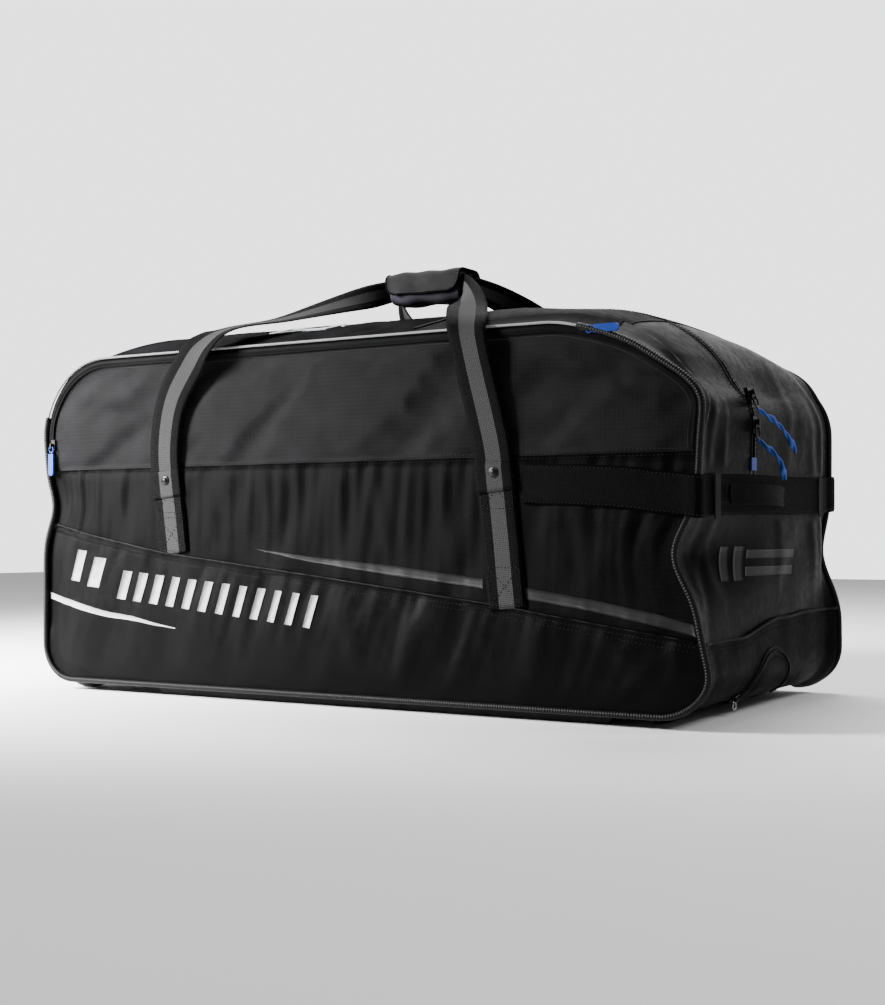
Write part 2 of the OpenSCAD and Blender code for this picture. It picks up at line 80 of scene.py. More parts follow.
# ------------------------------------------------------------------ maths
def xyz(x, y, z):
    """Points from their coordinates, each a number or an array."""
    return np.stack(np.broadcast_arrays(x, y, z), axis=-1)


def smoothstep(a, b, v):
    t = np.clip((v - a) / (b - a), 0, 1)
    return t * t * (3 - 2 * t)


def bump(v, middle, width):
    return np.exp(-((v - middle) / width) ** 2)


def perlin(u, v, size, seed):
    """Smooth noise over two arrays, about -1 to 1, with features of the given size."""
    u, v = np.broadcast_arrays(u, v)
    values = [noise.noise(Vector((a / size, b / size, seed))) for a, b in zip(u.ravel(), v.ravel())]
    return np.array(values).reshape(u.shape) * 1.6


def drape(u, v, angle, along, across, seed):
    """Smooth noise drawn out along one direction, as long soft folds."""
    c, s_ = math.cos(math.radians(angle)), math.sin(math.radians(angle))
    return perlin((u * c + v * s_) / along, (v * c - u * s_) / across, 1.0, seed)


def ridge(u, y):
    """The crease over the right top corner; u runs along the top and on down the end."""
    t = np.clip((u - 0.17) / 0.40, 0, 1)
    line = -0.238 + 0.048 * 4 * t * (1 - t)
    crease = bump(y, line, 0.007) - 0.5 * bump(y, line + 0.014, 0.012)
    return 0.0065 * np.sin(np.pi * t) ** 0.6 * crease


def folds(u, v, rows):
    """Soft folds: each row is a line u0, v0, u1, v1, its width, height and bend."""
    total = np.zeros(np.broadcast(u, v).shape)
    for u0, v0, u1, v1, width, height, bend in rows:
        length = math.hypot(u1 - u0, v1 - v0)
        du, dv = (u1 - u0) / length, (v1 - v0) / length
        along = ((u - u0) * du + (v - v0) * dv) / length
        across = (v - v0) * du - (u - u0) * dv - bend * 4 * along * (1 - along)
        taper = np.sin(np.pi * np.clip(along, 0, 1)) ** 0.8
        ridge = bump(across, 0, width) - 0.45 * bump(across, -1.5 * width, width)
        total += height * taper * ridge
    return total


def half_length(z, hx):
    """Half length of a rounded panel outline at height z."""
    top = np.clip(z - (TOP_Z - R_TOP), 0, R_TOP)
    low = np.clip(LOW_Z + R_LOW - z, 0, R_LOW)
    return hx - (R_TOP - np.sqrt(R_TOP ** 2 - top ** 2)) - (R_LOW - np.sqrt(R_LOW ** 2 - low ** 2))


def slope_z(x):
    """Height of the sloping seam on the front."""
    return np.interp(x, *np.transpose(SEAM_SLOPE))


def edge_distance(x, z):
    """Distance from a point of a panel in to its rounded outline."""
    ax = np.abs(x)
    flat = np.minimum(HALF_L - ax, np.minimum(TOP_Z - z, z - LOW_Z))
    cx, cz = ax - (HALF_L - R_TOP), z - (TOP_Z - R_TOP)
    top = R_TOP - np.hypot(cx, cz)
    bx, bz = ax - (HALF_L - R_LOW), (LOW_Z + R_LOW) - z
    low = R_LOW - np.hypot(bx, bz)
    result = np.where((cx > 0) & (cz > 0), top, flat)
    return np.where((bx > 0) & (bz > 0), low, result)


def warp(points):
    """The bag's own lean: its panel edges draw in or flare where the fabric is pulled."""
    p = np.array(points, float)
    x, y, z = p[..., 0], p[..., 1], p[..., 2]
    front = smoothstep(0.02, -HALF_W, y)
    right = smoothstep(HALF_L - 0.13, HALF_L - 0.01, x) * front
    left = smoothstep(-HALF_L + 0.13, -HALF_L + 0.01, x) * front
    p[..., 0] = (x - 0.028 * bump(z, 0.192, 0.045) * right + 0.012 * bump(z, 0.050, 0.045) * right
                 + 0.005 * bump(z, 0.370, 0.050) * right + 0.014 * bump(z, 0.250, 0.036) * left
                 + 0.003 * bump(z, 0.315, 0.030) * left)
    p[..., 1] = y + 0.004 * bump(z, 0.270, 0.036) * left
    back = smoothstep(0.190, 0.248, y) * smoothstep(HALF_L - 0.13, HALF_L - 0.01, x)
    p[..., 0] -= back * (0.014 * smoothstep(0.10, 0.20, z) * (1 - smoothstep(0.40, 0.46, z))
                         + 0.012 * bump(z, 0.190, 0.050))
    p[..., 2] = (z - 0.034 * smoothstep(0.30, 0.46, x) * smoothstep(0.33, 0.46, z)
                 * (1 - 0.55 * smoothstep(0.02, 0.20, y))
                 - 0.30 * np.maximum(z - 0.452, 0) * smoothstep(0.15, 0.42, x))
    return p


# ------------------------------------------------------------------ mesh helpers
def new_object(name, verts, faces, body="bag", smooth=True):
    mesh = bpy.data.meshes.new(name)
    mesh.from_pydata([tuple(v) for v in verts], [], [tuple(f) for f in faces])
    mesh.polygons.foreach_set("use_smooth", [smooth] * len(mesh.polygons))
    mesh.update()
    obj = bpy.data.objects.new(name, mesh)
    bpy.context.scene.collection.objects.link(obj)
    if body:
        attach(obj, body)
    return obj


def set_uv(obj, uv_of_vertex):
    """Writes a UV map called cloth, in metres, from one pair per vertex."""
    layer = obj.data.uv_layers.new(name="cloth")
    index = np.empty(len(obj.data.loops), int)
    obj.data.loops.foreach_get("vertex_index", index)
    layer.data.foreach_set("uv", np.asarray(uv_of_vertex, float)[index].ravel())


def piece(name, verts, faces, uv, material, body="bag", nodes=()):
    """A new mesh with its cloth UV map, material, slot and the CAD nodes it replaces."""
    obj = new_object(name, verts, faces, body)
    set_uv(obj, uv)
    obj.data.materials.append(material)
    if nodes:
        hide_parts(*nodes)
    return obj


def pair(u, v):
    """One UV pair for each point of a grid."""
    return np.stack(np.broadcast_arrays(u, v), axis=-1)


def distance_along(path):
    """How far each point of a path is from its start."""
    return np.concatenate([[0], np.cumsum(np.linalg.norm(np.diff(path, axis=0), axis=1))])


def grid_normals(p):
    du = np.gradient(p, axis=0)
    dv = np.gradient(p, axis=1)
    n = np.cross(du, dv)
    return n / np.maximum(np.linalg.norm(n, axis=2, keepdims=True), 1e-12)


def sheet(name, p, uv, material, nodes=(), body="bag", thickness=CLOTH, flip=False):
    """A closed sheet of cloth: its outer face is the grid p, uv is its pair of directions."""
    rows, cols = p.shape[:2]
    n = grid_normals(p) * (-1 if flip else 1)
    verts = np.concatenate([p.reshape(-1, 3), (p - n * thickness).reshape(-1, 3)])
    count = rows * cols
    faces = []
    for i in range(rows - 1):
        for j in range(cols - 1):
            a = i * cols + j
            quad = (a, a + cols, a + cols + 1, a + 1)
            inner = tuple(count + k for k in reversed(quad))
            faces += [quad, inner] if not flip else [quad[::-1], inner[::-1]]
    border = ([(i, 0) for i in range(rows)] + [(rows - 1, j) for j in range(1, cols)]
              + [(i, cols - 1) for i in range(rows - 2, -1, -1)]
              + [(0, j) for j in range(cols - 2, 0, -1)])
    ring = [i * cols + j for i, j in border]
    for k, a in enumerate(ring):
        b = ring[(k + 1) % len(ring)]
        side = (a, a + count, b + count, b)
        faces.append(side[::-1] if not flip else side)
    face_uv = pair(*uv).reshape(-1, 2)
    return piece(name, verts, faces, np.tile(face_uv, (2, 1)), material, body, nodes)


def catmull(points, per_span):
    """A smooth curve through the points."""
    p = np.array(points, float)
    out = []
    for i in range(len(p) - 1):
        a, b, c, d = p[max(i - 1, 0)], p[i], p[i + 1], p[min(i + 2, len(p) - 1)]
        for k in range(per_span):
            t = k / per_span
            out.append(0.5 * (2 * b + (c - a) * t + (2 * a - 5 * b + 4 * c - d) * t * t
                              + (3 * b - a - 3 * c + d) * t ** 3))
    out.append(p[-1])
    return np.array(out)


def unit(v):
    v = np.asarray(v, float)
    return v / np.maximum(np.linalg.norm(v, axis=-1, keepdims=True), 1e-12)


def frames(path, up):
    """Tangent, sideways and normal directions along a path."""
    t = unit(np.gradient(path, axis=0))
    a = np.broadcast_to(np.asarray(up, float), path.shape)
    a = unit(a - np.sum(a * t, axis=1, keepdims=True) * t)
    return t, a, np.cross(t, a)


def skin(rings, sides, base=0):
    """The faces of a tube with both ends closed, from its rings of points."""
    faces = [(base + i * sides + j, base + i * sides + (j + 1) % sides,
              base + (i + 1) * sides + (j + 1) % sides, base + (i + 1) * sides + j)
             for i in range(rings - 1) for j in range(sides)]
    return faces + [tuple(base + j for j in range(sides - 1, -1, -1)),
                    tuple(base + (rings - 1) * sides + j for j in range(sides))]


def ribbon(name, path, across, width, material, nodes=(), body="bag", thickness=STRAP_T, cup=0.0):
    """Flat webbing along a path, with rounded edges; cup bows its face outwards."""
    t, a, n = frames(path, across)
    width = np.broadcast_to(np.asarray(width, float), (len(path),))
    s = np.linspace(-1, 1, 11)
    half = thickness / 2
    edge = np.sqrt(np.clip(1 - np.abs(s) ** 14, 0, 1))
    section = ([(v, half * e + cup * (1 - v * v)) for v, e in zip(s, edge)]
               + [(v, -half * e + cup * (1 - v * v)) for v, e in zip(s[::-1], edge[::-1])][1:-1])
    length = distance_along(path)
    verts = [path[i] + a[i] * v * width[i] / 2 + n[i] * h
             for i in range(len(path)) for v, h in section]
    uvs = [((v + 1) / 2, length[i]) for i in range(len(path)) for v, h in section]
    return piece(name, verts, skin(len(path), len(section)), uvs, material, body, nodes)


def tube(name, path, radius, material, nodes=(), body="bag", sides=12, up=(0, 0, 1)):
    """A round tube along a path; radius may change along it."""
    t, a, n = frames(path, up)
    radius = np.broadcast_to(np.asarray(radius, float), (len(path),))
    angles = np.arange(sides) * 2 * np.pi / sides
    length = distance_along(path)
    verts = [path[i] + radius[i] * (a[i] * math.cos(q) + n[i] * math.sin(q))
             for i in range(len(path)) for q in angles]
    uvs = [(q / (2 * np.pi), length[i]) for i in range(len(path)) for q in angles]
    return piece(name, verts, skin(len(path), sides), uvs, material, body, nodes)


def stitches(name, path, normal, body="bag", radius=0.00042):
    """A row of thread stitches, each a small spindle lying on the cloth."""
    length, gap = 0.0034, 0.0016
    path = np.asarray(path, float)
    at = distance_along(path)
    normal = np.broadcast_to(np.asarray(normal, float), path.shape)
    verts, faces = [], []
    start = gap
    while start + length < at[-1]:
        ends = [np.array([np.interp(start + f * length, at, path[:, k]) for k in range(3)])
                for f in (0, 0.5, 1)]
        up = unit([np.interp(start, at, normal[:, k]) for k in range(3)])
        side = unit(np.cross(ends[2] - ends[0], up)) * radius
        lift = up * radius
        base = len(verts)
        verts += [ends[0], ends[1] + lift * 1.6, ends[1] + side, ends[1] - lift * 0.4,
                  ends[1] - side, ends[2]]
        for a, b in ((1, 2), (2, 3), (3, 4), (4, 1)):
            faces += [(base, base + b, base + a), (base + 5, base + a, base + b)]
        start += length + gap
    piece(name, verts, faces, np.zeros((len(verts), 2)), THREAD, body)


# ------------------------------------------------------------------ materials
class Nodes:
    """Small helper that adds and links shader nodes."""

    def __init__(self, name):
        self.material = bpy.data.materials.new(name)
        self.material.use_nodes = True
        self.tree = self.material.node_tree
        self.bsdf = self.tree.nodes["Principled BSDF"]

    def feed(self, socket, value):
        """Links a node's output to the socket, or sets its constant."""
        if isinstance(value, bpy.types.NodeSocket):
            self.tree.links.new(value, socket)
        else:
            socket.default_value = value

    def add(self, kind, inputs=None, **settings):
        node = self.tree.nodes.new("ShaderNode" + kind)
        for key, value in settings.items():
            setattr(node, key, value)
        for key, value in (inputs or {}).items():
            self.feed(node.inputs[key], value)
        return node

    def math(self, operation, a, b=0.0):
        return self.add("Math", {0: a, 1: b}, operation=operation).outputs[0]

    def cloth(self):
        """The cloth UV map, in metres, split into its two directions."""
        uv = self.add("UVMap", uv_map="cloth").outputs["UV"]
        parts = self.add("SeparateXYZ", {0: uv})
        return uv, parts.outputs[0], parts.outputs[1]

    def mix(self, factor, a, b):
        return self.add("Mix", {0: factor, 6: a, 7: b}, data_type="RGBA").outputs[2]

    def noise(self, vector, scale, detail=3.0):
        return self.add("TexNoise", {"Vector": vector, "Scale": scale, "Detail": detail}).outputs[0]

    def span(self, value, low=0.0, high=1.0):
        """The middle of a noise, spread from low to high."""
        return self.add("MapRange", {0: value, 1: 0.3, 2: 0.7, 3: low, 4: high}).outputs[0]

    def ripple(self, value, period):
        return self.math("SINE", self.math("MULTIPLY", value, 2 * math.pi / period))

    def threads(self, u, v, period):
        """Crossed threads of a plain weave."""
        return self.math("MULTIPLY", self.ripple(u, period), self.ripple(v, period))

    def finish(self, height, strength, depth, **inputs):
        """Sets the shader's sockets and its bump, and returns the material."""
        for key, value in inputs.items():
            self.feed(self.bsdf.inputs[key.replace("_", " ")], value)
        node = self.add("Bump", {"Height": height, "Strength": strength, "Distance": depth})
        self.tree.links.new(node.outputs[0], self.bsdf.inputs["Normal"])
        return self.material


def gray(v, tint=0.0):
    return (v, v, v + tint, 1)


def woven(name, dark, light, rough, weave, grid=0.0, strength=0.35, sheen=0.02, shine=0.022):
    """Woven cloth: crossed threads, and a ripstop grid where grid is its spacing."""
    m = Nodes(name)
    uv, u, v = m.cloth()
    height = m.math("MULTIPLY", m.threads(u, v, weave), 0.5)
    cloud = m.noise(uv, 26.0)
    shade = m.span(cloud)
    if grid:
        lines = [m.math("LESS_THAN", m.math("FRACT", m.math("DIVIDE", axis, grid)), 0.17)
                 for axis in (u, v)]
        cord = m.math("MAXIMUM", lines[0], lines[1])
        height = m.math("ADD", height, m.math("MULTIPLY", cord, 0.9))
        shade = m.math("ADD", m.math("MULTIPLY", shade, 0.75), m.math("MULTIPLY", cord, 0.35))
    return m.finish(height, strength, 0.0004, Base_Color=m.mix(shade, dark, light),
                    Roughness=m.span(cloud, rough - 0.05, rough + 0.06), Sheen_Weight=sheen,
                    Sheen_Roughness=0.4, Specular_IOR_Level=shine)


def coated(name, dark, light, rough, shine=0.04):
    """Smooth coated fabric: a faint weave under a soft gloss, with fine creases."""
    m = Nodes(name)
    uv, u, v = m.cloth()
    threads, creases = m.threads(u, v, 0.0016), m.noise(uv, 90.0, 5.0)
    height = m.math("ADD", m.math("MULTIPLY", threads, 0.22), m.math("MULTIPLY", creases, 0.7))
    return m.finish(height, 0.30, 0.0006, Specular_IOR_Level=shine,
                    Base_Color=m.mix(m.span(m.noise(uv, 14.0, 4.0)), dark, light),
                    Roughness=m.span(creases, rough - 0.05, rough + 0.08))


def webbing(name, dark, light, stripe=None):
    """Ribbed webbing; the stripe is a band of another colour down its middle."""
    m = Nodes(name)
    uv, u, v = m.cloth()
    rib, yarn, cloud = m.ripple(v, 0.0022), m.ripple(u, 0.045), m.noise(uv, 60.0)
    shade = m.add("Math", {0: m.math("MULTIPLY", rib, yarn), 1: 0.22, 2: 0.4},
                  operation="MULTIPLY_ADD").outputs[0]
    shade = m.math("ADD", shade, m.math("MULTIPLY", cloud, 0.3))
    colour = m.mix(shade, dark, light)
    if stripe:
        off = m.math("ABSOLUTE", m.math("SUBTRACT", u, 0.5))
        colour = m.mix(m.math("LESS_THAN", off, 0.2), colour, m.mix(shade, stripe[0], stripe[1]))
    height = m.math("ADD", rib, m.math("MULTIPLY", yarn, 0.6))
    return m.finish(height, 0.5, 0.0004, Base_Color=colour, Roughness=m.span(cloud, 0.62, 0.78),
                    Specular_IOR_Level=0.03)


def moulded(name, colour, rough, grain=900.0, depth=0.25, metallic=0.0, shine=0.5):
    """Moulded plastic, rubber or plated metal: fine grain and slight wear in its tone."""
    m = Nodes(name)
    place = m.add("TexCoord").outputs["Object"]
    cloud = m.noise(place, 45.0, 4.0)
    low = tuple(c * 0.75 for c in colour[:3]) + (1,)
    high = tuple(min(1, c * 1.25) for c in colour[:3]) + (1,)
    return m.finish(m.noise(place, grain, 2.0), depth, 0.0003, Metallic=metallic,
                    Base_Color=m.mix(m.span(cloud), low, high),
                    Roughness=m.span(cloud, rough - 0.06, rough + 0.06), Specular_IOR_Level=shine)


def printed(name, dark, light, rough, shine):
    """Ink printed on cloth: the weave and small wear marks show through it."""
    m = Nodes(name)
    uv, u, v = m.cloth()
    cloud = m.noise(uv, 30.0, 4.0)
    return m.finish(m.threads(u, v, 0.0014), 0.25, 0.0003, Specular_IOR_Level=shine,
                    Base_Color=m.mix(m.span(cloud), dark, light),
                    Roughness=m.span(cloud, rough - 0.05, rough + 0.10))


def ribbed(name, dark, light, period, rough=0.5, metallic=0.0):
    """Ribs across a narrow strip, as on crimped piping or a thread; the colour is darker in the grooves and
    lighter on the crests, painted shade and highlight over a random tone.
    """
    m = Nodes(name)
    uv, u, v = m.cloth()
    rib, cloud = m.ripple(v, period), m.noise(uv, 40.0)
    # painted shade and highlight: the colour follows the same ripple as the bump, over a random tone from
    # the cloud
    shade = m.math("ADD", m.math("MULTIPLY", rib, 0.25), cloud)
    return m.finish(rib, 0.6, 0.0004, Base_Color=m.mix(shade, dark, light), Metallic=metallic,
                    Roughness=m.span(cloud, rough - 0.06, rough + 0.08), Specular_IOR_Level=0.12)


def ripstop(name, dark, light, rough, strength=0.4, sheen=0.004, shine=0.022):
    return woven(name, dark, light, rough, 0.0012, 0.0052, strength, sheen, shine)


RIPSTOP = ripstop("ripstop", gray(0.0007, 0.0001), gray(0.0026, 0.0002), 0.50)
RIPSTOP_BACK = ripstop("ripstop_back", gray(0.0014, 0.0001), gray(0.0042, 0.0003), 0.56, 0.35)
# painted light: a lighter copy of the front ripstop for the upper panel, where the key light falls; the
# cloth is the same as the middle panel's
RIPSTOP_UPPER_LIT = ripstop("ripstop_upper_lit", gray(0.0030, 0.0002), gray(0.0092, 0.0006), 0.50)
# painted light: lighter copies of the ripstop and the coated fabric for the top, with their gloss taken out,
# standing for the top's lit, glossy look
RIPSTOP_TOP_LIT = ripstop("ripstop_top_lit", gray(0.0045, 0.0002), gray(0.0110, 0.0005), 0.6, 0.35, 0.0, 0.0)
TARP_TOP_LIT = coated("coated_top_fabric_lit", gray(0.0022, 0.0001), gray(0.0042, 0.0002), 0.45, 0.004)
TARP = coated("coated_fabric", gray(0.0007, 0.0001), gray(0.0014, 0.0002), 0.38)
TARP_END = coated("coated_end_fabric", gray(0.0010, 0.0001), gray(0.0019, 0.0001), 0.36, 0.02)
TARP_GUARD = coated("coated_guard_fabric", gray(0.0005, 0.0001), gray(0.0011, 0.0001), 0.40, 0.008)
LINING = woven("lining", gray(0.02), gray(0.035), 0.8, 0.0014)
WEB = webbing("carry_webbing", gray(0.0007), gray(0.0030), (gray(0.020, 0.0006), gray(0.046, 0.001)))
GRIP_WEB = webbing("grip_webbing", gray(0.0022), gray(0.0060))
BAND = webbing("band_webbing", gray(0.0005), gray(0.0018))
ZIP = ribbed("zip_tape", gray(0.0012), gray(0.0036), 0.0012, 0.6)
COIL = ribbed("zip_coil", gray(0.002), gray(0.006), 0.0011, 0.38)
# painted highlight: the silver colour stands for the glint of light along the top of the black piping
PIPING_HIGHLIGHT = ribbed("piping_painted_highlight", gray(0.16), gray(0.30, 0.006), 0.0016, 0.34, 0.3)
CRIMPED = ribbed("crimped_piping", gray(0.001), gray(0.0045), 0.0034, 0.45)
THREAD = ribbed("thread", gray(0.008), gray(0.020), 0.0008, 0.6)
FELT = woven("felt", gray(0.010), gray(0.024, 0.001), 0.9, 0.0021, 0.0, 0.6, 0.10)
PADDED_FACE = woven("wrap_lining", (0.020, 0.018, 0.024, 1), (0.036, 0.033, 0.042, 1), 0.75, 0.0016)
PRINT_SILVER = printed("silver_print", gray(0.30), gray(0.40, 0.008), 0.36, 0.3)
PRINT_GREY = printed("grey_print", gray(0.008), gray(0.015, 0.0008), 0.42, 0.1)
BLUE = moulded("blue_plastic", (0.0022, 0.032, 0.24, 1), 0.36, shine=0.3)
BLACK_METAL = moulded("black_metal", gray(0.008), 0.34, 500.0, 0.1, 0.6, shine=0.3)
STEEL = moulded("steel", gray(0.45), 0.28, 700.0, 0.12, 1.0)
HOUSING = moulded("housing_plastic", gray(0.002), 0.40, 600.0, 0.35, shine=0.15)
RAIL = moulded("rail_plastic", gray(0.002), 0.45, 700.0, 0.35, shine=0.15)
TYRE = moulded("tyre_rubber", gray(0.006), 0.65, 500.0, 0.5, shine=0.2)
HUB = moulded("hub_plastic", gray(0.016), 0.42, 600.0, 0.3, shine=0.3)
BOARD = moulded("board", gray(0.03), 0.6, 300.0, 0.3)
CARD = moulded("card_window", (0.30, 0.31, 0.33, 1), 0.12, 200.0, 0.05)


# ------------------------------------------------------------------ pull cords
def cord_points(points):
    """A route given in millimetres, as a smooth curve in metres."""
    return catmull(np.array(points) / 1000, 4)


def pull_cord(name, node, body, points):
    """A doubled, knotted cord: two plies twisted round the route, with a knot near its end."""
    path = cord_points(points)
    fine = catmull(path, 4)
    t, a, n = frames(fine, (0.1, 1, 0.2))
    steps = distance_along(fine)
    length = steps[-1]
    where = steps / length
    verts, faces, uvs = [], [], []
    sides = 10
    for ply in (0, 1):
        angle = steps / 0.034 * 2 * np.pi + ply * np.pi
        spread = 0.00145 * smoothstep(0, 0.08, where)
        centre = fine + (a * np.cos(angle)[:, None] + n * np.sin(angle)[:, None]) * spread[:, None]
        r = 0.0015 + 0.0020 * bump(where, 0.82, 0.07) + 0.0015 * bump(where, 0.30, 0.06)
        r = r * (1 + 0.05 * np.sin(steps / 0.0014 * 2 * np.pi))
        base = len(verts)
        for i in range(len(fine)):
            for k in range(sides):
                q = 2 * np.pi * k / sides
                verts.append(centre[i] + r[i] * (a[i] * math.cos(q) + n[i] * math.sin(q)))
                uvs.append((k / sides * 0.010, steps[i]))
        faces += skin(len(fine), sides, base)
    obj = piece(name, verts, faces, uvs, CORD, body, [node])


def cord_material():
    m = Nodes("braided_cord")
    uv, u, v = m.cloth()
    slant = m.math("MULTIPLY", u, 0.7)
    one, two = [m.math("SINE", m.math("MULTIPLY", m.math(way, slant, v), 2800.0))
                for way in ("ADD", "SUBTRACT")]
    fleck = m.math("GREATER_THAN", m.math("MULTIPLY", one, two), 0.62)
    cloud = m.noise(uv, 300.0)
    blue = m.mix(cloud, (0.0018, 0.026, 0.20, 1), (0.006, 0.075, 0.42, 1))
    colour = m.mix(m.math("MULTIPLY", fleck, 0.8), blue, (0.001, 0.004, 0.02, 1))
    return m.finish(m.math("MAXIMUM", one, two), 0.6, 0.0003, Base_Color=colour,
                    Roughness=m.span(cloud, 0.5, 0.66))


CORD = cord_material()
UPPER_ROUTE = [(485, -60, 363), (488, -57, 360), (492, -52, 356), (496, -45, 352), (500, -37, 347),
               (504, -29, 341), (507, -21, 334), (509, -14, 327), (511, -8, 320), (512, -3, 313)]
LOWER_ROUTE = [(486, -60, 327), (490, -61, 323), (496, -61, 318), (503, -61, 312), (509, -60, 306),
               (513, -59, 299), (515, -58, 292), (516, -57, 285), (517, -56, 278)]
pull_cord("upper_pull_cord", "upper_cord", "upper_pull", UPPER_ROUTE)
pull_cord("lower_pull_cord", "lower_cord", "lower_pull", LOWER_ROUTE)


# ------------------------------------------------------------------ front panel
LEFT_LEG, RIGHT_LEG = -0.2585, 0.2465


def leg_mask(x):
    """0 under the sewn straps, 1 away from them, so the cloth lies flat there."""
    return 1 - np.maximum(bump(x, LEFT_LEG, 0.034), bump(x, RIGHT_LEG, 0.034)) * 0.85


UPPER_FOLDS = [
    (-0.045, 0.445, 0.18, 0.315, 0.013, 0.0050, 0.006), (-0.075, 0.440, 0.12, 0.318, 0.016, 0.0036, 0.008),
    (0.035, 0.445, 0.20, 0.345, 0.011, 0.0034, 0.004), (0.10, 0.445, 0.21, 0.370, 0.010, 0.0030, 0.0),
    (-0.145, 0.44, -0.065, 0.375, 0.010, 0.0028, 0.004), (-0.445, 0.405, -0.29, 0.388, 0.012, 0.0032, 0.006),
    (-0.455, 0.350, -0.33, 0.330, 0.012, 0.0026, -0.006), (-0.35, 0.425, -0.27, 0.400, 0.010, 0.0026, 0.0),
    (0.28, 0.42, 0.40, 0.385, 0.018, 0.0045, 0.010), (0.40, 0.425, 0.43, 0.340, 0.013, 0.0040, 0.006),
    (0.33, 0.34, 0.43, 0.325, 0.014, 0.0036, 0.004)]
MIDDLE_FOLDS = [
    (-0.43, 0.302, -0.45, 0.235, 0.008, 0.0035, 0.0), (-0.39, 0.302, -0.40, 0.230, 0.008, 0.0030, 0.0),
    (-0.35, 0.302, -0.34, 0.215, 0.007, 0.0026, 0.0), (-0.20, 0.302, -0.19, 0.200, 0.009, 0.0034, 0.004),
    (-0.155, 0.302, -0.16, 0.180, 0.008, 0.0030, 0.0), (-0.10, 0.302, -0.09, 0.200, 0.009, 0.0034, 0.0),
    (-0.04, 0.302, -0.06, 0.180, 0.009, 0.0034, 0.0), (0.02, 0.302, 0.01, 0.190, 0.009, 0.0034, 0.003),
    (0.07, 0.302, 0.09, 0.170, 0.009, 0.0036, 0.0), (0.12, 0.302, 0.11, 0.190, 0.008, 0.0030, 0.0),
    (0.165, 0.302, 0.18, 0.160, 0.010, 0.0040, 0.0), (0.33, 0.302, 0.35, 0.170, 0.010, 0.0034, 0.004),
    (0.39, 0.300, 0.47, 0.190, 0.011, 0.0046, 0.008), (0.30, 0.240, 0.47, 0.200, 0.010, 0.0034, 0.006)]
LOWER_FOLDS = [
    (-0.40, 0.20, -0.44, 0.05, 0.012, 0.0030, 0.0), (-0.28, 0.18, -0.24, 0.03, 0.016, 0.0034, 0.01),
    (-0.12, 0.16, -0.15, 0.03, 0.014, 0.0026, 0.0), (0.02, 0.14, 0.05, 0.03, 0.016, 0.0032, 0.0),
    (0.13, 0.14, 0.10, 0.02, 0.012, 0.0030, 0.0), (0.20, 0.12, 0.27, 0.02, 0.013, 0.0036, 0.004),
    (0.30, 0.12, 0.26, 0.02, 0.012, 0.0032, 0.0), (0.36, 0.11, 0.44, 0.03, 0.012, 0.0040, 0.004),
    (0.46, 0.10, 0.38, 0.02, 0.010, 0.0034, 0.0), (-0.34, 0.20, -0.20, 0.10, 0.012, 0.0024, 0.01)]


def front_height(x, z, part):
    edge = edge_distance(x, z)
    fade = smoothstep(0.0, 0.035, edge) * leg_mask(x)
    if part == "upper":
        h = (0.0052 * drape(x, z, 48, 0.20, 0.052, 1.3) + 0.0024 * drape(x, z, 28, 0.10, 0.024, 4.4)
             + 0.8 * folds(x, z, UPPER_FOLDS) - 0.0018 * bump(z, MID_Z, 0.006))
    elif part == "middle":
        gather = smoothstep(0.15, 0.29, z)
        h = (0.0024 * drape(x, z, 86, 0.16, 0.013, 5.1) * (0.35 + 0.65 * gather)
             + 0.0022 * drape(x, z, 60, 0.15, 0.040, 8.1) + 0.7 * folds(x, z, MIDDLE_FOLDS)
             - 0.0024 * bump(z, MID_Z, 0.007))
    else:
        under = smoothstep(0.11, 0.0, slope_z(x) - z)
        h = (0.0014 * drape(x, z, 70, 0.09, 0.012, 9.7) * (0.15 + 0.85 * under)
             + 0.0020 * drape(x, z, 62, 0.20, 0.045, 3.3) + 0.5 * folds(x, z, LOWER_FOLDS) + 0.0022)
    h = h * fade + 0.0042 * smoothstep(0, 0.10, edge)
    if part == "lower":         # it keeps its height round the wheel housing
        h = np.maximum(h, 0.0026 * smoothstep(0.085, 0.060, np.hypot(x + HALF_L, z - LOW_Z)))
    return np.clip(h, -0.0085, 0.0082 - 0.0040 * smoothstep(0.27, 0.31, z))


def front_point(x, z, part, lift=0.0):
    return warp(xyz(x, -HALF_W - front_height(x, z, part) - lift, z))


def rows_between(low, high, spacing=GRID):
    """Heights from low to high, closer together towards the top."""
    count = max(int((high - low) / spacing), 2)
    t = np.linspace(0, 1, count + 1)
    return high - (high - low) * np.sin((1 - t) * np.pi / 2) ** 0.9


def front_sheet(part, z_low, z_high, material):
    """One of the three pieces of the front panel, between two lines that run along it."""
    s = np.linspace(-1, 1, int(2 * HALF_L / GRID) + 1)
    low, high = [np.broadcast_to(f(s * HALF_L) if callable(f) else f, s.shape)
                 for f in (z_low, z_high)]
    t = rows_between(0, 1, GRID / 0.14)
    if part == "upper":
        t = np.sin(np.linspace(0, np.pi / 2, len(t)))
    if part == "lower":
        t = 1 - np.sin(np.linspace(np.pi / 2, 0, len(t)))
    z = low[:, None] + (high - low)[:, None] * t[None, :]
    x = s[:, None] * half_length(z, HALF_L)
    sheet("front_" + part, front_point(x, z, part), (x, z), material, ["front_panel_" + part])


# the upper panel takes the lighter copy of the ripstop, with the light on it painted into its colour
front_sheet("upper", MID_Z, TOP_Z, RIPSTOP_UPPER_LIT)
front_sheet("middle", lambda x: slope_z(x) - 0.006, MID_Z, RIPSTOP)
front_sheet("lower", LOW_Z, slope_z, TARP)

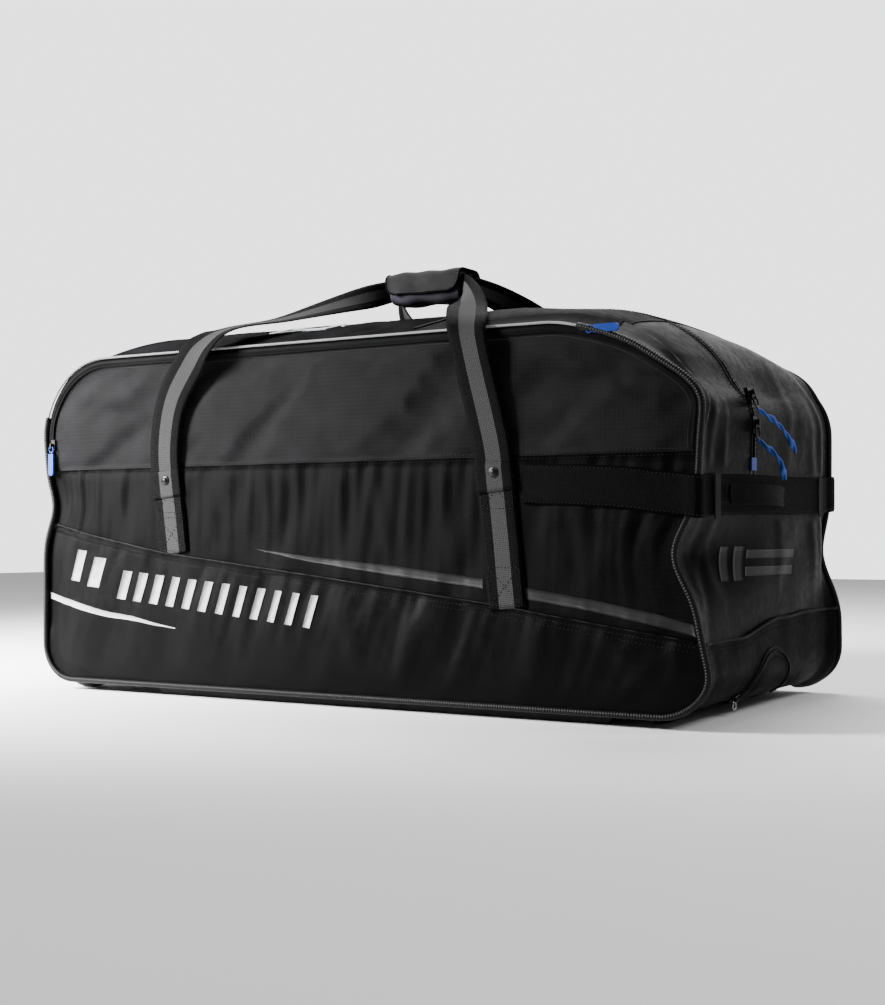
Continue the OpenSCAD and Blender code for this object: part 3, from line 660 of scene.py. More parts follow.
# inner wall of the front pocket, drawn in with the leaning edges
lining_z = rows_between(0.020, 0.450, 0.012)
lining_z = np.broadcast_to(lining_z, (60, len(lining_z)))
lining_x = np.linspace(-1, 1, 60)[:, None] * (half_length(lining_z, END_X) - 0.014)
lining_x = np.where((lining_z < 0.125) & (lining_x < -0.380), -0.380, lining_x)
sheet("pocket_lining", warp(xyz(lining_x, -0.2280, lining_z)), (lining_x, lining_z), LINING,
      ["front_pocket_wall"], thickness=0.0015)


def surface_line(points, part, lift):
    """Points along a line drawn on the front, lying on the cloth."""
    return front_point(points[:, 0], points[:, 1], part, lift)


def dense(points, spacing=0.004):
    """The same line with points at an even spacing."""
    p = np.array(points, float)
    steps = distance_along(p)
    at = np.linspace(0, steps[-1], max(int(steps[-1] / spacing), 2))
    return np.stack([np.interp(at, steps, p[:, k]) for k in range(p.shape[1])], axis=-1)


slope_line = dense(SEAM_SLOPE)
slope_line = slope_line[np.abs(slope_line[:, 0]) < HALF_L - 0.004]
# folded top edge of the lower cloth, with two rows of stitches under it
tube("front_lower_fold", surface_line(slope_line, "lower", 0.0006), 0.0021, TARP,
     sides=8)
for name, drop in (("a", 0.006), ("b", 0.012)):
    line = surface_line(slope_line - np.array([0, drop]), "lower", 0.0003)
    stitches("slope_stitches_" + name, line, (0, -1, 0))
mid_line = dense([(-HALF_L + 0.006, MID_Z), (HALF_L - 0.006, MID_Z)])
for name, rise, part in (("a", 0.0035, "upper"), ("b", -0.003, "middle")):
    line = surface_line(mid_line + np.array([0, rise]), part, 0.0002)
    stitches("mid_stitches_" + name, line, (0, -1, 0))


# ------------------------------------------------------------------ piping and pocket zip
def outline_path(inset=0.0, spacing=0.006):
    """The rounded outline of a panel, counter-clockwise from the middle of its top."""
    pts = [(0, TOP_Z - inset)]
    for radius, centre_z, turn in ((R_TOP, TOP_Z - R_TOP, np.linspace(90, 180, 24)),
                                   (R_LOW, LOW_Z + R_LOW, np.linspace(180, 270, 14))):
        r, turn = radius - inset, np.radians(turn)
        pts += list(zip(-(HALF_L - radius) + r * np.cos(turn), centre_z + r * np.sin(turn)))
    pts += [(-x, z) for x, z in pts[::-1]]
    return dense(pts, spacing)


outline = outline_path()


def piping_path(side, keep):
    x, z = outline[keep].T
    return warp(xyz(x, side * (HALF_W + 0.0042), z))


def piping(side, tag):
    """The piping of one panel: a painted highlight, in a silver colour, along its top to the right corner;
    black elsewhere.
    """
    nodes = [tag + "_piping"]
    # the lit top of the piping, where the highlight is painted as a silver colour
    highlight_part = (outline[:, 1] > 0.38) & (outline[:, 0] < 0.345)
    start = int(np.argmax(~highlight_part))
    rolled = np.roll(np.arange(len(outline) - 1), -start)
    flags = highlight_part[rolled]
    first = int(np.argmax(flags)) if flags.any() else 0
    order = np.concatenate([rolled[first:], rolled[:first]])
    flags = highlight_part[order]
    count = int(np.argmin(flags))
    highlight_path = piping_path(side, order[:count + 1])
    dark = piping_path(side, np.concatenate([order[count:], order[:1]]))
    tube(tag + "_piping_highlight", highlight_path, 0.0015, PIPING_HIGHLIGHT, nodes, up=(0, 1, 0))
    tube(tag + "_piping_black", dark, PIPING, CRIMPED, nodes, up=(0, 1, 0))


piping(-1, "front")
piping(1, "back")

# flap of the front pocket zip: a strip just inside the piping, open along its lower edge
ring = outline_path(0.004)
ring = ring[ring[:, 1] > MID_Z + 0.002]
ring = ring[np.argsort(np.arctan2(ring[:, 0], ring[:, 1] - 0.24))]
ring = ring[np.concatenate([[True], np.linalg.norm(np.diff(ring, axis=0), axis=1) > 0.0005])]
inward = unit(np.stack([-np.sign(ring[:, 0]) * (np.abs(ring[:, 0]) > HALF_L - R_TOP)
                        * (np.abs(ring[:, 0]) - (HALF_L - R_TOP)),
                        -np.maximum(ring[:, 1] - (TOP_Z - R_TOP), 0.0)], axis=-1) + 1e-9)


def strip_points(offset, lift):
    """The line of the flap, moved in from the edge by the offset."""
    return surface_line(ring + inward * offset, "upper", lift)


flap_rows = [strip_points(offset, lift) for offset, lift in (
    (0.0, 0.0030), (0.002, 0.0042), (0.004, 0.0044), (0.006, 0.0038), (0.0078, 0.0028))]
sheet("front_zip_flap", np.stack(flap_rows, axis=1),
      (np.linspace(0, 1, len(ring))[:, None], np.linspace(0, 0.0078, 5)[None, :]),
      RIPSTOP, ["front_zip_tape"], thickness=0.0014, flip=True)
tube("front_zip_coil", strip_points(0.0115, -0.0009), 0.0012, COIL, ["front_zip_tape"],
     sides=8)


# ------------------------------------------------------------------ back panel and bottom
BACK_FOLDS = [
    (-0.35, 0.42, -0.42, 0.15, 0.016, 0.004, 0.01), (0.05, 0.43, -0.08, 0.14, 0.018, 0.003, 0.012),
    (0.33, 0.40, 0.44, 0.12, 0.016, 0.004, -0.01), (-0.15, 0.40, -0.12, 0.08, 0.014, 0.0025, 0.0),
    (0.14, 0.30, 0.20, 0.05, 0.014, 0.003, 0.006)]
HOUSING_R = 0.0635                   # the wheel housing's corner, kept clear by the back cloth


def back_point(x, z, lift=0.0):
    edge = edge_distance(x, z)
    h = folds(x, z, BACK_FOLDS) + 0.0022 * perlin(x, z, 0.10, 21.7)
    h = h * leg_mask(x) * smoothstep(0, 0.04, edge)
    h = np.minimum(h + 0.0045 * smoothstep(0, 0.10, edge),
                   0.0080 - 0.0038 * smoothstep(0.27, 0.31, z))
    return warp(xyz(x, HALF_W + h + lift, z))


s = np.linspace(-1, 1, 160)
t = np.linspace(0, 1, 72)
bz = LOW_Z + (TOP_Z - LOW_Z) * (0.5 - 0.5 * np.cos(np.pi * t))
zz = np.broadcast_to(bz, (len(s), len(t)))
xx = s[:, None] * half_length(zz, HALF_L)
dx, dz = xx + HALF_L, zz - LOW_Z
push = np.maximum(HOUSING_R / np.maximum(np.hypot(dx, dz), 1e-5), 1)
inside = np.hypot(dx, dz) < HOUSING_R
lowest = inside & (dz < 0.002)
xx = np.where(lowest, -HALF_L + HOUSING_R, np.where(inside, -HALF_L + dx * push, xx))
zz = np.where(lowest, LOW_Z + 0.001, np.where(inside, LOW_Z + dz * push, zz))
sheet("back_cloth", back_point(xx, zz), (xx, zz), RIPSTOP_BACK, ["back_panel"], flip=True)
line = dense([(-HALF_L + 0.01, 0.135), (HALF_L - 0.01, 0.135)])
stitches("back_stitches", back_point(line[:, 0], line[:, 1], 0.0003), (0, 1, 0))

low_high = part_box("bottom_panel")[1].x
bottom_y = np.concatenate([np.linspace(-0.2445, -0.157, 16), np.linspace(-0.151, 0.151, 40),
                           np.linspace(0.157, 0.2445, 16)])
start = -low_high + 0.036 * (np.abs(bottom_y) > 0.154)
bx = start[None, :] + (low_high - start)[None, :] * np.linspace(0, 1, 110)[:, None]
by = np.broadcast_to(bottom_y, bx.shape)
sag = 0.0006 * perlin(bx, by, 0.08, 31.1)
sheet("bottom_cloth", xyz(bx, by, LOW_Z + 0.0004 + np.maximum(sag, 0)), (bx, by), TARP,
      ["bottom_panel"], flip=True)

# ------------------------------------------------------------------ ends
CAP_X, CAP_Z, LOW_X = END_X - R_TOP, TOP_Z - R_TOP, END_X - R_LOW
W_ARC = R_LOW * math.pi / 2
W_CAP = W_ARC + CAP_Z - (LOW_Z + R_LOW)
W_END = W_CAP + R_TOP * math.pi / 2
INNER = HALF_W - 0.0005
SLIT_FRONT, SLIT_BACK = ZIP_Y - 0.0068, ZIP_Y + 0.0068      # edges of the cloth along the main zip


def w_of_z(z):
    return W_ARC + z - (LOW_Z + R_LOW)


def end_base(w, y):
    """A point of the right end and its outward direction; w runs up the end and over the top."""
    w, y = np.broadcast_arrays(np.asarray(w, float), np.asarray(y, float))
    low = np.clip(w / W_ARC, 0, 1) * math.pi / 2
    top = np.clip((w - W_CAP) / (W_END - W_CAP), 0, 1) * math.pi / 2
    late = np.clip((top / (math.pi / 2) - 0.35) / 0.65, 0, 1)
    radius = R_TOP + TOP_RISE * late ** 2 * (3 - 2 * late) * (1 - (y / HALF_W) ** 2)
    x = np.where(w < W_ARC, LOW_X + R_LOW * np.sin(low),
                 np.where(w < W_CAP, END_X, CAP_X + radius * np.cos(top)))
    z = np.where(w < W_ARC, LOW_Z + R_LOW - R_LOW * np.cos(low),
                 np.where(w < W_CAP, w - W_ARC + LOW_Z + R_LOW,
                          CAP_Z + radius * np.sin(top)))
    nx = np.where(w < W_ARC, np.sin(low), np.cos(top))
    nz = np.where(w < W_ARC, -np.cos(low), np.sin(top))
    return xyz(x, y, z), xyz(nx, 0, nz)


END_FOLDS = [
    (-0.205, 0.14, -0.19, 0.42, 0.011, 0.0055, 0.004), (-0.165, 0.16, -0.15, 0.44, 0.010, 0.0050, -0.003),
    (-0.12, 0.20, -0.105, 0.46, 0.009, 0.0045, 0.003), (-0.225, 0.10, -0.16, 0.24, 0.010, 0.0050, 0.006),
    (0.06, 0.30, 0.12, 0.50, 0.016, 0.0045, 0.006), (0.17, 0.12, 0.16, 0.44, 0.014, 0.0050, 0.004),
    (0.21, 0.16, 0.20, 0.48, 0.011, 0.0045, 0.0), (-0.02, 0.13, 0.10, 0.24, 0.016, 0.0035, 0.01)]
BAND_W = w_of_z(0.262)               # the middle of the band across the end


def guard_edge(y, side):
    """How far up the end the guard reaches: on the right it dips to the front."""
    dip = 0.018 * smoothstep(0.03, -0.12, y) - 0.004 * smoothstep(0.04, 0.14, y)
    return w_of_z(GUARD_Z) - dip * (side > 0)


def flare(y):
    """The end cloth rises to the piping at both of its edges; 0 to 1."""
    return smoothstep(0.205, 0.243, np.abs(y))


def end_height(w, y, side):
    h = 0.28 * folds(y, w, END_FOLDS) + 0.0020 * perlin(y, w, 0.075, 41.3 if side > 0 else 57.9)
    # flat under the zip and under the band
    near = np.maximum(smoothstep(0.100, 0.070, np.abs(y + 0.060)),
                      smoothstep(0.036, 0.024, np.abs(w - BAND_W))
                      * smoothstep(0.24, 0.22, np.abs(y)))
    h = h * (1 - near) - 0.0006 * near
    h = h * smoothstep(0.0, 0.03, HALF_W - np.abs(y))
    h = h * smoothstep(0.0, 0.02, np.abs(w - guard_edge(y, side)))
    h = h * smoothstep(0.0, 0.03, W_END - w)
    if side > 0:
        h = h + ridge(CAP_X + W_END - w, y)
    return np.minimum(h, 0.0070) + 0.0068 * flare(y) * smoothstep(W_END, W_CAP + 0.09, w)


def end_point(w, y, side=1, lift=0.0, guard=False):
    """A point on the cloth of an end, or on its guard."""
    base, normal = end_base(w, y)
    if guard:
        h = 0.0010 * perlin(y, w, 0.06, 63.1) + 0.0012 + lift + 0.0068 * flare(y)
    else:
        h = end_height(w, y, side) + lift
    p = base + normal * np.asarray(h)[..., None]
    p[..., 0] *= side
    return warp(p)


def end_sheet(name, side, w0, w1, y0, y1, nodes, material=TARP_END, guard=False, lift=0.0):
    ys = np.linspace(y0, y1, max(int((y1 - y0) / GRID), 3) + 1)
    w0, w1 = [np.broadcast_to(v(ys) if callable(v) else v, ys.shape) for v in (w0, w1)]
    ws = np.linspace(0, 1, max(int((w1 - w0).max() / GRID), 3) + 1)
    yy = np.broadcast_to(ys[:, None], (len(ys), len(ws)))
    ww = w0[:, None] + (w1 - w0)[:, None] * ws[None, :]
    p = end_point(ww, yy, side, lift, guard)
    sheet(name, p, (yy, ww), material, nodes, flip=side < 0)


SPLIT_W, SLOT_W = w_of_z(0.270), w_of_z(0.305)
for side, tag in ((1, "right"), (-1, "left")):
    guard_y = INNER if side > 0 else 0.157
    panel, cap = tag + "_end_panel", tag + "_top_cap"
    end_sheet(tag + "_guard_cloth", side, 0, lambda y: guard_edge(y, side) + 0.003, -guard_y, guard_y,
              [tag + "_end_guard"], TARP_GUARD, guard=True)
    end_sheet(tag + "_end_cloth", side, lambda y: guard_edge(y, side), SPLIT_W, -INNER, INNER, [panel])
    end_sheet(tag + "_end_front", side, SPLIT_W, W_END, -INNER, SLIT_FRONT, [panel, cap])
    end_sheet(tag + "_end_back", side, SPLIT_W, W_END, SLIT_BACK, INNER, [panel, cap])
    end_sheet(tag + "_end_bridge", side, SPLIT_W, SLOT_W, SLIT_FRONT, SLIT_BACK, [panel])
    end_sheet(tag + "_zip_cloth", side, SLOT_W - 0.01, W_END, ZIP_Y - 0.0095, ZIP_Y + 0.0095,
              [tag + "_zip_tape"], ZIP, lift=-0.0034)
    # coil: a ribbed bead down the middle of the tape, and stitches beside the slot
    ws = np.arange(SLOT_W, W_END, 0.0005)
    bead = 0.0019 + 0.0004 * np.sin(ws / 0.0021 * 2 * np.pi)
    tube(tag + "_zip_coil", end_point(ws, ZIP_Y, side, -0.0022), bead, COIL,
         [tag + "_zip_tape"], sides=8, up=(0, 1, 0))
    ws = np.arange(SLOT_W + 0.002, W_END, SEW)
    for k, offset in enumerate((-0.0135, -0.0095, 0.0095, 0.0135)):
        stitches("%s_zip_stitches_%d" % (tag, k), end_point(ws, ZIP_Y + offset, side, 0.0003),
                 end_base(ws, ZIP_Y + offset)[1] * (side, 1, 1))
    ys = np.arange(-guard_y + 0.004, guard_y, SEW)
    for k, rise in enumerate((-0.004, -0.009)):
        stitches("%s_guard_stitches_%d" % (tag, k),
                 end_point(guard_edge(ys, side) + rise, ys, side, 0.0003, True), (side, 0, 0))
    ys = np.arange(-guard_y + 0.002, guard_y, 0.004)
    tube(tag + "_guard_fold", end_point(guard_edge(ys, side) + 0.002, ys, side, 0.0006, True),
         0.0019, TARP_END, sides=8)

# arched pocket on the right end: an inner panel, its zip and two rows of stitches
arch_lo, arch_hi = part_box("end_pocket_panel")
ARCH_Y = (arch_lo.y + arch_hi.y) / 2
ARCH_R, ARCH_C = 0.078, -0.008


def arch_point(r, q, lift):
    """A point of the arch from its radius and angle, laid on the guard."""
    y, z = ARCH_Y + r * np.cos(q), ARCH_C + r * np.sin(q)
    angle = np.arccos(np.clip((LOW_Z + R_LOW - z) / R_LOW, -1, 1))
    w = np.where(z > LOW_Z + R_LOW, w_of_z(z), angle * R_LOW)
    return end_point(w, y, 1, lift, True)


def arch_sheet(name, r0, r1, lift, crown, material, node):
    """A half ring of cloth; crown is how far its middle stands out."""
    rs = np.linspace(r0, r1, max(int((r1 - r0) / 0.003), 3))
    rr, tt = np.meshgrid(rs, np.linspace(0, 1, 70), indexing="ij")
    reach = np.maximum(rr, LOW_Z - ARCH_C + 0.002)
    first = np.arcsin(np.clip((LOW_Z + 0.0008 - ARCH_C) / reach, -1, 1))
    q = first + (math.pi - 2 * first) * tt
    rise = lift + crown * np.sin(np.pi * np.clip((rr - r0) / (r1 - r0), 0, 1))
    sheet(name, arch_point(rr, q, rise), (rr * np.cos(q), rr * np.sin(q)), material, [node],
          thickness=0.0016)


arch_sheet("end_pocket_cloth", 0.026, ARCH_R - 0.001, 0.0010, 0.0022, TARP_GUARD,
           "end_pocket_panel")
arch_sheet("end_pocket_tape", ARCH_R - 0.002, ARCH_R + 0.008, 0.0012, 0.0, ZIP,
           "end_pocket_zip")
q = np.linspace(math.asin(0.024 / ARCH_R), math.pi - math.asin(0.024 / ARCH_R), 260)
bead = 0.0015 + 0.0003 * np.sin(np.arange(len(q)) * math.pi / 2)
tube("end_pocket_coil", arch_point(ARCH_R + 0.0028, q, 0.0018), bead, COIL,
     ["end_pocket_zip"], sides=8)
for k, r in enumerate((ARCH_R + 0.0105, ARCH_R - 0.005)):
    stitches("end_pocket_stitches_%d" % k, arch_point(r, q, 0.0022), (1, 0, 0))


# ------------------------------------------------------------------ top
def dome_z(y):
    return TOP_Z + TOP_RISE * (1 - (y / HALF_W) ** 2)


TOP_FOLDS = [
    (-0.36, -0.20, -0.10, -0.22, 0.014, 0.0030, 0.01), (-0.10, -0.12, 0.10, -0.20, 0.016, 0.0030, 0.01),
    (-0.3, 0.05, 0.3, 0.03, 0.02, 0.003, 0.01), (-0.2, 0.20, 0.3, 0.14, 0.02, 0.003, 0.02),
    (0.02, -0.23, 0.16, -0.14, 0.010, 0.0026, 0.0)]


def top_height(x, y):
    h = folds(x, y, TOP_FOLDS) + 0.0024 * perlin(x, y, 0.09, 71.3)
    near_zip = smoothstep(0.05, 0.02, np.abs(y - ZIP_Y))
    card = bump(x, -0.10, 0.075) * bump(y, -0.150, 0.045)
    h = h * (1 - near_zip) * (1 - 0.95 * np.clip(card * 1.6, 0, 1))
    h = h * smoothstep(0.0, 0.02, HALF_W - np.abs(y)) * smoothstep(0.0, 0.03, FLAP_X + 0.006 - np.abs(x))
    return np.minimum(h + ridge(x, y), 0.0070)


def top_point(x, y, lift=0.0):
    return warp(xyz(x, y, dome_z(y) + top_height(x, y) + lift))


TOP_SEAM = 0.112
LAP = FLAP_X + 0.006                 # the flaps reach a little over the end caps


def top_seam(y, y0, y1):
    """The curved seam between the ripstop and the coated part of a flap."""
    return TOP_SEAM + 0.016 * np.sin((y - y0) / (y1 - y0) * math.pi * 0.9)


def top_sheet(body, half, y0, y1):
    """Half of a flap of the top: the ripstop left of the seam, or the coated fabric right of it."""
    name, ripstop = body + "_" + half, half == "ripstop"
    x0, x1 = (-LAP, TOP_SEAM) if ripstop else (TOP_SEAM, LAP)
    ys = np.linspace(y0, y1, int((y1 - y0) / GRID) + 1)
    t = np.linspace(0, 1, int((x1 - x0) / GRID) + 1)
    seam = top_seam(ys, y0, y1)
    left = np.full(len(ys), x0) if ripstop else seam - 0.0015
    right = seam if ripstop else np.full(len(ys), x1)
    xx = left[None, :] + (right - left)[None, :] * t[:, None]
    yy = np.broadcast_to(ys, xx.shape)
    # the top's materials are lighter copies that paint in its lit, glossy look
    material, slot = (RIPSTOP_TOP_LIT, "ripstop") if ripstop else (TARP_TOP_LIT, "coated_fabric")
    obj = sheet(name, top_point(xx, yy, 0.0016), (xx, yy), material, [body + "_panel"],
                body=None)
    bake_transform(obj)


for body, y0, y1 in (("front_top", -INNER, SLIT_FRONT), ("back_top", SLIT_BACK, INNER)):
    for half in ("ripstop", "coated"):
        top_sheet(body, half, y0, y1)
ys = np.arange(-INNER + 0.012, SLIT_FRONT, SEW)
seam = top_seam(ys, -INNER, SLIT_FRONT)
for k, off in enumerate((-0.004, -0.009)):
    stitches("top_seam_stitches_%d" % k, top_point(seam + off, ys, 0.0019), (0, 0, 1),
             body="front_top")
tube("top_seam_edge", top_point(seam - 0.001, ys, 0.0022), 0.0016, TARP,
     body="front_top", sides=8)

for body, node, sign in (("front_top", "front_top_zip", -1), ("back_top", "back_top_zip", 1)):
    xs = np.arange(-FLAP_X, FLAP_X, 0.005)
    ys = ZIP_Y + sign * np.array([0.0004, 0.003, 0.006, 0.0095])
    xx, yy = np.meshgrid(xs, ys[::sign], indexing="ij")
    sheet(node + "_cloth", warp(xyz(xx, yy, dome_z(yy) - 0.0026)), (yy, xx), ZIP,
          [node], body=body, thickness=0.0012)
    xs = np.arange(-FLAP_X, FLAP_X, 0.0006)
    bead = 0.0011 + 0.0003 * np.sin(xs / 0.0024 * 2 * np.pi)
    y = ZIP_Y + sign * 0.0012
    tube(node + "_coil", warp(xyz(xs, y, dome_z(y) - 0.0018)), bead, COIL, [node],
         body=body, sides=6)
    xs = np.arange(-FLAP_X + 0.004, FLAP_X, SEW)
    for k, off in enumerate((0.0095, 0.0135)):
        stitches("%s_stitches_%d" % (node, k), top_point(xs, ZIP_Y + sign * off, 0.0019),
                 (0, 0, 1), body=body)


# ------------------------------------------------------------------ webbing
CARRY = [(-265, -252.5, 301.5), (-262, -256, 340), (-250, -258, 390), (-222, -260, 430),
         (-193, -262, 460), (-166, -240, 482), (-130, -170, 500), (-95, -80, 530), (-62, -15, 552),
         (-30, -13, 552), (30, -13, 552), (54, -15, 552), (92, -70, 529), (130, -130, 505),
         (170, -200, 486), (198, -248, 468), (207, -262, 445), (216, -259, 400), (228, -256, 350),
         (238, -252.5, 301.5)]
ACROSS = [(1, 0, 0), (1, 0, 0), (1, 0, 0.2), (0.95, 0, -0.2), (0.9, -0.2, -0.2), (0.9, -0.4, -0.1),
          (0.9, -0.4, -0.2), (0.6, -0.3, -0.6), (0, 0, -1), (0, 0, -1), (0, 0, -1), (0, 0, -1),
          (-0.6, -0.3, -0.6), (-0.9, -0.4, 0), (-0.9, -0.4, 0.1), (-1, -0.2, 0), (-1, 0, 0),
          (-1, 0, 0), (-1, 0, 0), (-1, 0, 0)]
WIDE = [50, 50, 50, 50, 50, 50, 48, 40, 30, 30, 30, 30, 40, 48, 50, 50, 50, 50, 50, 50]
LEG_TOP = 0.292                      # the straps are sewn down up to here
BOX_HALF, BOX_TALL = 0.021, 0.044    # the crossed boxes of stitches on the legs


def leg_points(top, bottom_x, bottom_z, side):
    """The sewn part of a strap, lying on its panel, from its low end up to the free strap."""
    t = np.linspace(0, 1, 30)
    z = bottom_z + (LEG_TOP - bottom_z) * t
    x = bottom_x + (top - bottom_x) * t
    depth = []
    for a, b in zip(x, z):
        around = a + np.linspace(-0.024, 0.024, 7)
        part = "lower" if b < slope_z(a) else "middle"
        if side < 0:
            depth.append(np.min(front_point(around, np.full(7, b), part)[:, 1]) - 0.0013)
        else:
            depth.append(-(np.max(back_point(around, np.full(7, b))[:, 1]) + 0.0013))
    depth = np.convolve(np.pad(depth, 3, mode="edge"), np.ones(7) / 7, mode="valid")
    return xyz(x, depth, z)


def rivet(tag, k, place, side):
    """A domed rivet head with its rim, turned about Y."""
    profile = [(0.0, 0.0030), (0.0018, 0.0028), (0.0034, 0.0021), (0.0042, 0.0012), (0.0046, 0.0010),
               (0.0058, 0.0011), (0.0063, 0.0006), (0.0063, -0.0006), (0.0, -0.0006)]
    around = np.linspace(0, 2 * np.pi, 25)[:-1]
    verts = [(place[0] + r * math.cos(q), place[1] + side * h, place[2] + r * math.sin(q))
             for r, h in profile for q in around]
    faces = [f[::-side] for f in skin(len(profile), len(around))[:-2]]
    piece("%s_rivet_%d" % (tag, k), verts, faces, np.zeros((len(verts), 2)), BLACK_METAL,
          nodes=["strap_rivets"])


def carry_strap(side, tag):
    legs = (leg_points(-0.2645, -0.251, 0.189, side), leg_points(0.2365, 0.254, 0.128, side))
    free = catmull(np.array(CARRY) / 1000, 7)
    wide = catmull(np.array([(w, 0, 0) for w in WIDE]) / 1000, 7)[:, 0]
    turn = catmull(ACROSS, 7)
    path = np.concatenate([legs[0], free[1:-1], legs[1][::-1]])
    width = np.concatenate([np.full(30, STRAP_W), wide[1:-1], np.full(30, STRAP_W)])
    across = np.concatenate([np.tile((1, 0, 0), (30, 1)), turn[1:-1], np.tile((-1, 0, 0), (30, 1))])
    # soften the step from the sewn end to the free strap
    for _ in range(6):
        path[20:50] = (path[19:49] + 2 * path[20:50] + path[21:51]) / 4
        path[-50:-20] = (path[-51:-21] + 2 * path[-50:-20] + path[-49:-19]) / 4
    mirror = np.array([1, -side, 1])
    obj = ribbon(tag + "_carry_strap", path * mirror, across * mirror, width, WEB,
                 [tag + "_strap", tag + "_strap_legs"], body=None, thickness=0.0021)
    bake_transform(obj)

    def spot(leg, u, z, lift):
        """A point on a leg at height z, u off its middle."""
        x, y = [np.interp(z, leg[:, 2], leg[:, axis]) for axis in (0, 1)]
        return xyz(x + u, y - lift, z) * mirror

    for k, leg in enumerate(legs):
        top = leg[leg[:, 2] > 0.262]
        last = [top[-1, 0] - 0.0006 * (1 - 2 * k), top[-1, 1] - 0.0004, 0.2985]
        top = np.concatenate([top, [last]]) + (0, -0.0018, 0)
        ribbon("%s_leg_patch_%d" % (tag, k), top * mirror, (1, 0, 0), STRAP_W + 0.0025, WEB,
               thickness=0.0016)
        rivet(tag, k, spot(leg, 0, 0.286, 0.0027), side)
    # a crossed box of stitches at the top and at the low end of each leg
    for k, leg in enumerate(legs):
        for m, z0 in enumerate((LEG_TOP - 0.004 - BOX_TALL, leg[0, 2] + 0.004)):
            a, b, z1 = -BOX_HALF, BOX_HALF, z0 + BOX_TALL
            loop = dense([(a, z0), (b, z0), (b, z1), (a, z1), (a, z0), (b, z1), (b, z0), (a, z1)])
            stitches("%s_leg_box_%d_%d" % (tag, k, m), spot(leg, loop[:, 0], loop[:, 1], 0.0013),
                     (0, side, 0), radius=0.0005)


carry_strap(-1, "front")
carry_strap(1, "back")

# right band: from the front leg round the corner to the middle of the end; the rest mirrors it
band_half = [(0.263, 0.2464, 0.273), (0.300, 0.2500, 0.271), (0.350, 0.2520, 0.269),
             (0.400, 0.2520, 0.266), (0.440, 0.2510, 0.261), (0.470, 0.2510, 0.258),
             (0.484, 0.2545, 0.256), (0.492, 0.2545, 0.255), (0.4955, 0.2490, 0.255),
             (0.4940, 0.2370, 0.255), (0.4870, 0.2230, 0.256), (0.4825, 0.1980, 0.258),
             (0.4815, 0.160, 0.259), (0.4815, 0.08, 0.261), (0.4815, 0, 0.262)]
band_path = [(x, -y, z) for x, y, z in band_half] + [(x, y, 0.524 - z) for x, y, z in band_half[-2::-1]]
band_line = warp(catmull(band_path, 6))
ribbon("right_band_web", band_line, (0, 0, 1), 0.047, BAND, ["right_band"])
left_lo, left_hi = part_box("left_band")
ys = np.linspace(-0.2425, 0.2425, 60)
path = xyz(-END_X - 0.0014 - 0.0062 * flare(ys), ys, (left_lo.z + left_hi.z) / 2)
ribbon("left_band_web", warp(path), (0, 0, 1), left_hi.z - left_lo.z, BAND, ["left_band"])
facing = frames(band_line, (0, 0, 1))[2]
for tag, off in (("low", -0.0205), ("high", 0.0205)):
    stitches("band_stitches_" + tag, band_line + (0, 0, off) + facing * 0.0011, facing)


def hand_grip(side, tag):
    lo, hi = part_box(tag + "_grip")
    z = (lo.z + hi.z) / 2
    y = [-150, -138, -118, -80, -40, -2, 18, 30]
    x = [4.6, 7.6, 15, 22, 22, 15, 7.6, 4.6]
    path = catmull([((END_X * 1000 + a + 2) / 1000, b / 1000, z) for a, b in zip(x, y)], 8)
    path[:, 0] *= side
    # webbing folded double lengthwise, so it is narrow, thick and bowed
    grip = ribbon(tag + "_grip_web", path, (0, 0, 1), 0.0235, GRIP_WEB, [tag + "_grip"], body=None,
                  thickness=0.0030, cup=0.0022 * -side)
    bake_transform(grip)


hand_grip(1, "right")
hand_grip(-1, "left")


# ------------------------------------------------------------------ padded wrap
def wrap_half(side, tag):
    """One half of the padded sleeve round the straps, swelled by cloth simulation."""
    lo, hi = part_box(tag + "_wrap")
    xs = np.linspace(lo.x + 0.004, hi.x - 0.004, 30)
    half = abs(hi.y - lo.y) / 2
    zm, tall = (lo.z + hi.z) / 2, (hi.z - lo.z) / 2
    # a C-shaped cross-section, open towards the other half
    ring = []
    for a in np.radians(np.linspace(-90, 90, 19)):
        c, s_ = math.cos(a), math.sin(a)
        ring.append((half * 2 * abs(c) ** 0.55 * 0.96, tall * np.sign(s_) * abs(s_) ** 0.7 * 0.94))
    section = ring + [(r * 0.70, h * 0.78) for r, h in ring[::-1]]
    near_y = min(abs(lo.y), abs(hi.y))
    verts = []
    for i, x in enumerate(xs):
        pinch = 1 - 0.05 * math.cos(4 * math.pi * i / (len(xs) - 1))
        for r, h in section:
            verts.append((x, side * (near_y + r * pinch), zm + h * pinch))
    m = len(section)
    faces = [f[::side] for f in skin(len(xs), m)[:-2]]
    for e, flip in ((0, side > 0), ((len(xs) - 1) * m, side < 0)):
        for j in range(len(ring) - 1):
            f = (e + j, e + j + 1, e + m - 2 - j, e + m - 1 - j)
            faces.append(f[::-1] if flip else f)
    obj = new_object(tag + "_wrap_pad", verts, faces, body=None)
    obj.data.materials.append(PADDED_FACE)
    bpy.context.view_layer.update()
    swell(obj, 0.0032, 0.0035, 14)
    sub = obj.modifiers.new("sub", "SUBSURF")
    sub.levels = 1
    apply(obj, "sub")
    place = np.array([v.co for v in obj.data.vertices])
    set_uv(obj, np.stack([place[:, 0], place[:, 1] + place[:, 2]], axis=-1))
    obj.data.polygons.foreach_set("use_smooth", [True] * len(obj.data.polygons))
    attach(obj, tag + "_handle")
    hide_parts(tag + "_wrap")


def apply(obj, modifier):
    bpy.context.view_layer.objects.active = obj
    for other in bpy.context.selected_objects:
        other.select_set(False)
    obj.select_set(True)
    bpy.ops.object.modifier_apply(modifier=modifier)


